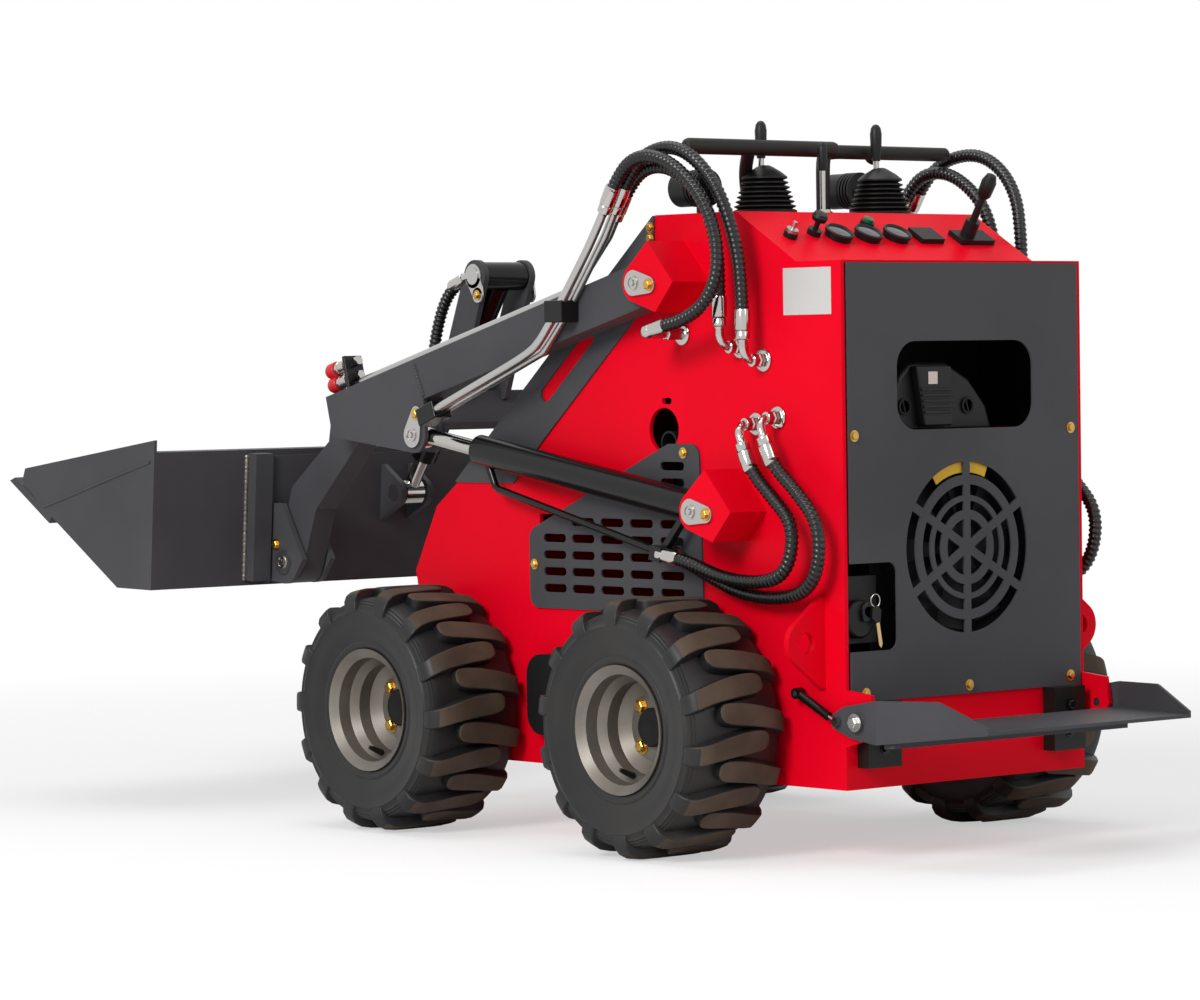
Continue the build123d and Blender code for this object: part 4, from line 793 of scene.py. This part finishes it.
for y in (122, -34):
    cup = [(15, 0), (15, 5), (11, 5), (11, 1), (0, 1)]
    turned(cups, cup, at(COVER_FACE_X + 1, y, 791), (-1, 0, 0), 24)
    prism(cups, [(y - 3, 781), (y + 3, 801), (y + 6, 801), (y, 781)], -693, -689)
solid("air_cover_screws", *cups, iron, "chassis")

# Dark sheets at the back and sides of the engine bay: painted shade, standing in for the shade inside the
# bay behind the window
BAY_FRONT_X = -466
shade_sheets = prism(([], []), [(285, 760), (285, 985), (-285, 985), (-285, 760)], BAY_FRONT_X - 4, BAY_FRONT_X)
for side in (1, -1):
    block(shade_sheets, (-700, 286 * side, 750), (BAY_FRONT_X, 288.5 * side, 985))
solid("bay_painted_shade", *shade_sheets, iron, "chassis")

# Key switch in its recess beside the fan grille, with two keys on a ring
SWITCH_X = -690
switch = ([], [])
block(switch, (SWITCH_X, 193.5, 380.5), (-668.5, 288.5, 499.5))
turned(switch, [(34, 0), (34, 12), (30, 16), (0, 16)], at(SWITCH_X, 246, 424), (-1, 0, 0), 36)
turned(switch, [(16, 16), (16, 21), (13, 23), (0, 23)], at(SWITCH_X, 232, 440), (-1, 0, 0), 28)
switch_piece = soften(solid("key_recess", *switch, plastic, "chassis"), 1.5)
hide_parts("battery_switch")
RING_R = 11
ring = []
for k in range(25):
    turn = k * pi / 12
    ring.append(at(-716, 222 + RING_R * cos(turn), 456 + RING_R * sin(turn)))
solid("key_ring", *pipe(([], []), ring, 1.2, 8), chrome, "chassis")
NEAR_KEY = [(218, 448), (208, 440), (210, 418), (222, 416), (230, 424), (228, 446)]
FAR_KEY = [(240, 448), (228, 446), (232, 420), (246, 420), (250, 436)]
KEY_BLADE = [(213, 420), (206, 380), (209, 373), (214, 378), (221, 419)]
heads = prism(([], []), NEAR_KEY, -717.5, -713)
prism(heads, FAR_KEY, -713, -708.5)
soften(solid("key_heads", *heads, plastic, "chassis"), 1.5)
solid("key_blade", *prism(([], []), KEY_BLADE, -716.5, -714.5), brass, "chassis")

# Pin ends, keeper plates and their bolts
PIN_END = [(13, 0), (13, 2.5), (10, 3), (9, 1), (6, 1), (5, 4), (0, 4)]
PINS = (
    ("arm", ARM_PIN, CHEEK_FACE_Y, "chassis"), ("base", BASE_PIN, CHEEK_FACE_Y, "chassis"),
    ("lift", LIFT_PIN, BRACKET_FACE_Y, "lift_arms"), ("leg", LEG_PIN, 322, "bucket"),
)
TILT_EAR_Y = 65
TILT_BOLT = (560, 1012)
TILT_WEB = ((549.7, 1045), (597, 1045), (574.8, 1009), (545.2, 1015))
KEEPER_T = 4
LEG_KEEPER_BOLT = (904, 316, 522)
HINGE_BOLT = (-757, 314, 251)
for label, side in SIDES:
    out = (0, side, 0)
    for name, (x, z), face_y, body in PINS:
        lathe("pin_end_%s_%s" % (name, label), PIN_END, at(x, face_y * side, z), out, chrome, body, 32)
    x, y, z = LEG_KEEPER_BOLT
    bolts("leg_keeper_bolt_" + label, [(x, y * side, z)], out, 8, gold, "bucket")
    ear_y = TILT_EAR_Y * side
    keeper_y = (TILT_EAR_Y + KEEPER_T) * side
    plate = ([], [])
    for (x, z), radius, steps in ((TILT_PIN, 24, 32), (TILT_BOLT, 15, 24)):
        turned(plate, [(radius, 0), (radius, KEEPER_T), (0, KEEPER_T)], at(x, ear_y, z), out, steps)
    slab(plate, TILT_WEB, ear_y, keeper_y)
    solid("tilt_keeper_" + label, *plate, zinc, "lift_arms")
    bolts("tilt_keeper_bolt_" + label, [(TILT_BOLT[0], keeper_y, TILT_BOLT[1])], out, 7, gold, "lift_arms")
    x, y, z = HINGE_BOLT
    bolts("platform_hinge_bolt_" + label, [(x, y * side, z)], out, 11, zinc, "chassis")

# Hose from the arms to the head of the tilt cylinder, and the bent port that it ends on
TILT_HOSE = [
    (612, 58, 1044), (636, 62, 1034), (668, 66, 1000), (690, 70, 940), (688, 82, 880), (668, 100, 848),
    (664, 104, 822),
]
TILT_PORT = [(592, 20, 1040), (596, 40, 1048), (604, 56, 1048), (616, 58, 1043)]
TILT_PORT_R = 7
hose("tilt_hose", 1, TILT_HOSE, ("tilt_cylinder", "lift_arms"), [])
port = pipe(([], []), route(TILT_PORT, 10), TILT_PORT_R, 14)
solid("tilt_port", *port, chrome, "tilt_cylinder")

# Folded seam on the bucket's sides, weld beads along its uprights and where arm and bracket meet


def bead(parts, low, high, steps, radius, ripple):
    """Add a rippled weld bead from one point to another, in mm."""
    path = []
    for k in range(steps + 1):
        share = k / steps
        path.append(at(*[a + (b - a) * share for a, b in zip(low, high)]))
    return pipe(parts, path, lambda length, turn: radius + ripple * sin(length * 0.9), 10)


SEAM_Y = 590
SEAM_R = 3
UPRIGHT_Y = 366
seams = ([], [])
beads = ([], [])
for label, side in SIDES:
    pipe(seams, [at(944, SEAM_Y * side, 693), at(1322, SEAM_Y * side, 599)], SEAM_R, 8)
    bead(beads, (947, UPRIGHT_Y * side, 452), (930, UPRIGHT_Y * side, 702), 60, 5, 0.9)
    weld_y = ARM_OUTER_Y * side
    weld = bead(([], []), (393, weld_y, 878), (364, weld_y, 816), 30, 4.2, 0.8)
    solid("arm_weld_" + label, *weld, grey, "lift_arms")
solid("bucket_seams", *seams, grey, "bucket")
solid("bucket_welds", *beads, silver, "bucket")

# Floor, light and camera
FLOOR_HALF = 12
WORLD_LIGHT = 0.38
FLOOR_SHOWN = 0.5
FADE_FROM = 1.6
FADE_TO = 4.5
# Area lamps as name, place and size in metres, and power in watts
LAMPS = (
    ("key", (-2.6, 7.2, 4.4), 2.6, 470), ("rear", (-7.0, -1.5, 4.0), 3.0, 80),
    ("top", (0.5, 0.5, 6.5), 4.0, 140),
)
LAMP_TARGET = Vector((-0.2, 0, 0.6))
CAMERA_PLACE = (-6359.1, 5659.9, 878.0)
CAMERA_YAW = radians(-40.46)
CAMERA_PITCH = radians(-1.76)
CAMERA_ROLL = radians(-0.82)
CAMERA_LENS = 135.27
SENSOR_WIDTH = 36


def studio_floor():
    """White floor that fades out far from the machine."""
    material = shader("floor", (0.93, 0.93, 0.93), 0.9, gloss=0.0)
    nodes = material.node_tree.nodes
    links = material.node_tree.links
    place = nodes.new("ShaderNodeTexCoord")
    length = nodes.new("ShaderNodeVectorMath")
    length.operation = "LENGTH"
    fade = nodes.new("ShaderNodeMapRange")
    fade.inputs["From Min"].default_value = FADE_FROM
    fade.inputs["From Max"].default_value = FADE_TO
    clear = nodes.new("ShaderNodeBsdfTransparent")
    mix = nodes.new("ShaderNodeMixShader")
    links.new(place.outputs["Object"], length.inputs[0])
    links.new(length.outputs["Value"], fade.inputs["Value"])
    links.new(fade.outputs["Result"], mix.inputs[0])
    rays = nodes.new("ShaderNodeLightPath")
    share = nodes.new("ShaderNodeMath")
    share.operation = "MULTIPLY"
    share.inputs[1].default_value = FLOOR_SHOWN
    white = nodes.new("ShaderNodeEmission")
    white.inputs["Color"].default_value = (1, 1, 1, 1)
    white.inputs["Strength"].default_value = 1
    lifted = nodes.new("ShaderNodeMixShader")
    links.new(rays.outputs["Is Camera Ray"], share.inputs[0])
    links.new(share.outputs[0], lifted.inputs[0])
    links.new(nodes["Principled BSDF"].outputs[0], lifted.inputs[1])
    links.new(white.outputs[0], lifted.inputs[2])
    links.new(lifted.outputs[0], mix.inputs[1])
    links.new(clear.outputs[0], mix.inputs[2])
    links.new(mix.outputs[0], nodes["Material Output"].inputs["Surface"])
    return material


def studio_world():
    """White studio: full strength where it is seen, softer where it lights the machine."""
    world = bpy.data.worlds.new("studio")
    world.use_nodes = True
    nodes = world.node_tree.nodes
    links = world.node_tree.links
    rays = nodes.new("ShaderNodeLightPath")
    seen = nodes.new("ShaderNodeMath")
    seen.operation = "MAXIMUM"
    through = nodes.new("ShaderNodeMath")
    through.operation = "MAXIMUM"
    level = nodes.new("ShaderNodeMath")
    level.operation = "MULTIPLY_ADD"
    level.inputs[1].default_value = 1 - WORLD_LIGHT
    level.inputs[2].default_value = WORLD_LIGHT
    links.new(rays.outputs["Is Camera Ray"], seen.inputs[0])
    links.new(rays.outputs["Is Glossy Ray"], seen.inputs[1])
    links.new(seen.outputs[0], through.inputs[0])
    links.new(rays.outputs["Is Transmission Ray"], through.inputs[1])
    links.new(through.outputs[0], level.inputs[0])
    links.new(level.outputs[0], nodes["Background"].inputs["Strength"])
    nodes["Background"].inputs["Color"].default_value = (1, 1, 1, 1)
    return world


def studio_lamps():
    """Soft area lamps, turned to the machine."""
    for name, place, size, power in LAMPS:
        lamp = bpy.data.lights.new(name, "AREA")
        lamp.size = size
        lamp.energy = power
        holder = bpy.data.objects.new(name, lamp)
        holder.location = place
        holder.rotation_euler = (LAMP_TARGET - Vector(place)).to_track_quat("-Z", "Y").to_euler()
        bpy.context.scene.collection.objects.link(holder)


def photo_camera():
    """Camera at the photograph's place and angle."""
    data = bpy.data.cameras.new("photo")
    data.sensor_fit = "HORIZONTAL"
    data.sensor_width = SENSOR_WIDTH
    data.lens = CAMERA_LENS
    data.clip_end = 200
    camera = bpy.data.objects.new("photo", data)
    level = cos(CAMERA_PITCH)
    ahead = Vector((level * cos(CAMERA_YAW), level * sin(CAMERA_YAW), sin(CAMERA_PITCH)))
    right = Vector((sin(CAMERA_YAW), -cos(CAMERA_YAW), 0))
    up = right.cross(ahead)
    tilted_right = right * cos(CAMERA_ROLL) + up * sin(CAMERA_ROLL)
    tilted_up = up * cos(CAMERA_ROLL) - right * sin(CAMERA_ROLL)
    turn = Matrix((tilted_right, tilted_up, -ahead)).transposed()
    camera.matrix_world = Matrix.Translation(at(*CAMERA_PLACE)) @ turn.to_4x4()
    bpy.context.scene.collection.objects.link(camera)
    bpy.context.scene.camera = camera


floor = bpy.data.meshes.new("floor")
corners = [(x * FLOOR_HALF, y * FLOOR_HALF, 0) for x, y in ((-1, -1), (1, -1), (1, 1), (-1, 1))]
floor.from_pydata(corners, [], [(0, 1, 2, 3)])
floor.materials.append(studio_floor())
floor_piece = bpy.data.objects.new("floor", floor)
bpy.context.scene.collection.objects.link(floor_piece)
bpy.context.scene.world = studio_world()
studio_lamps()
photo_camera()
bpy.context.scene.view_settings.view_transform = "Standard"
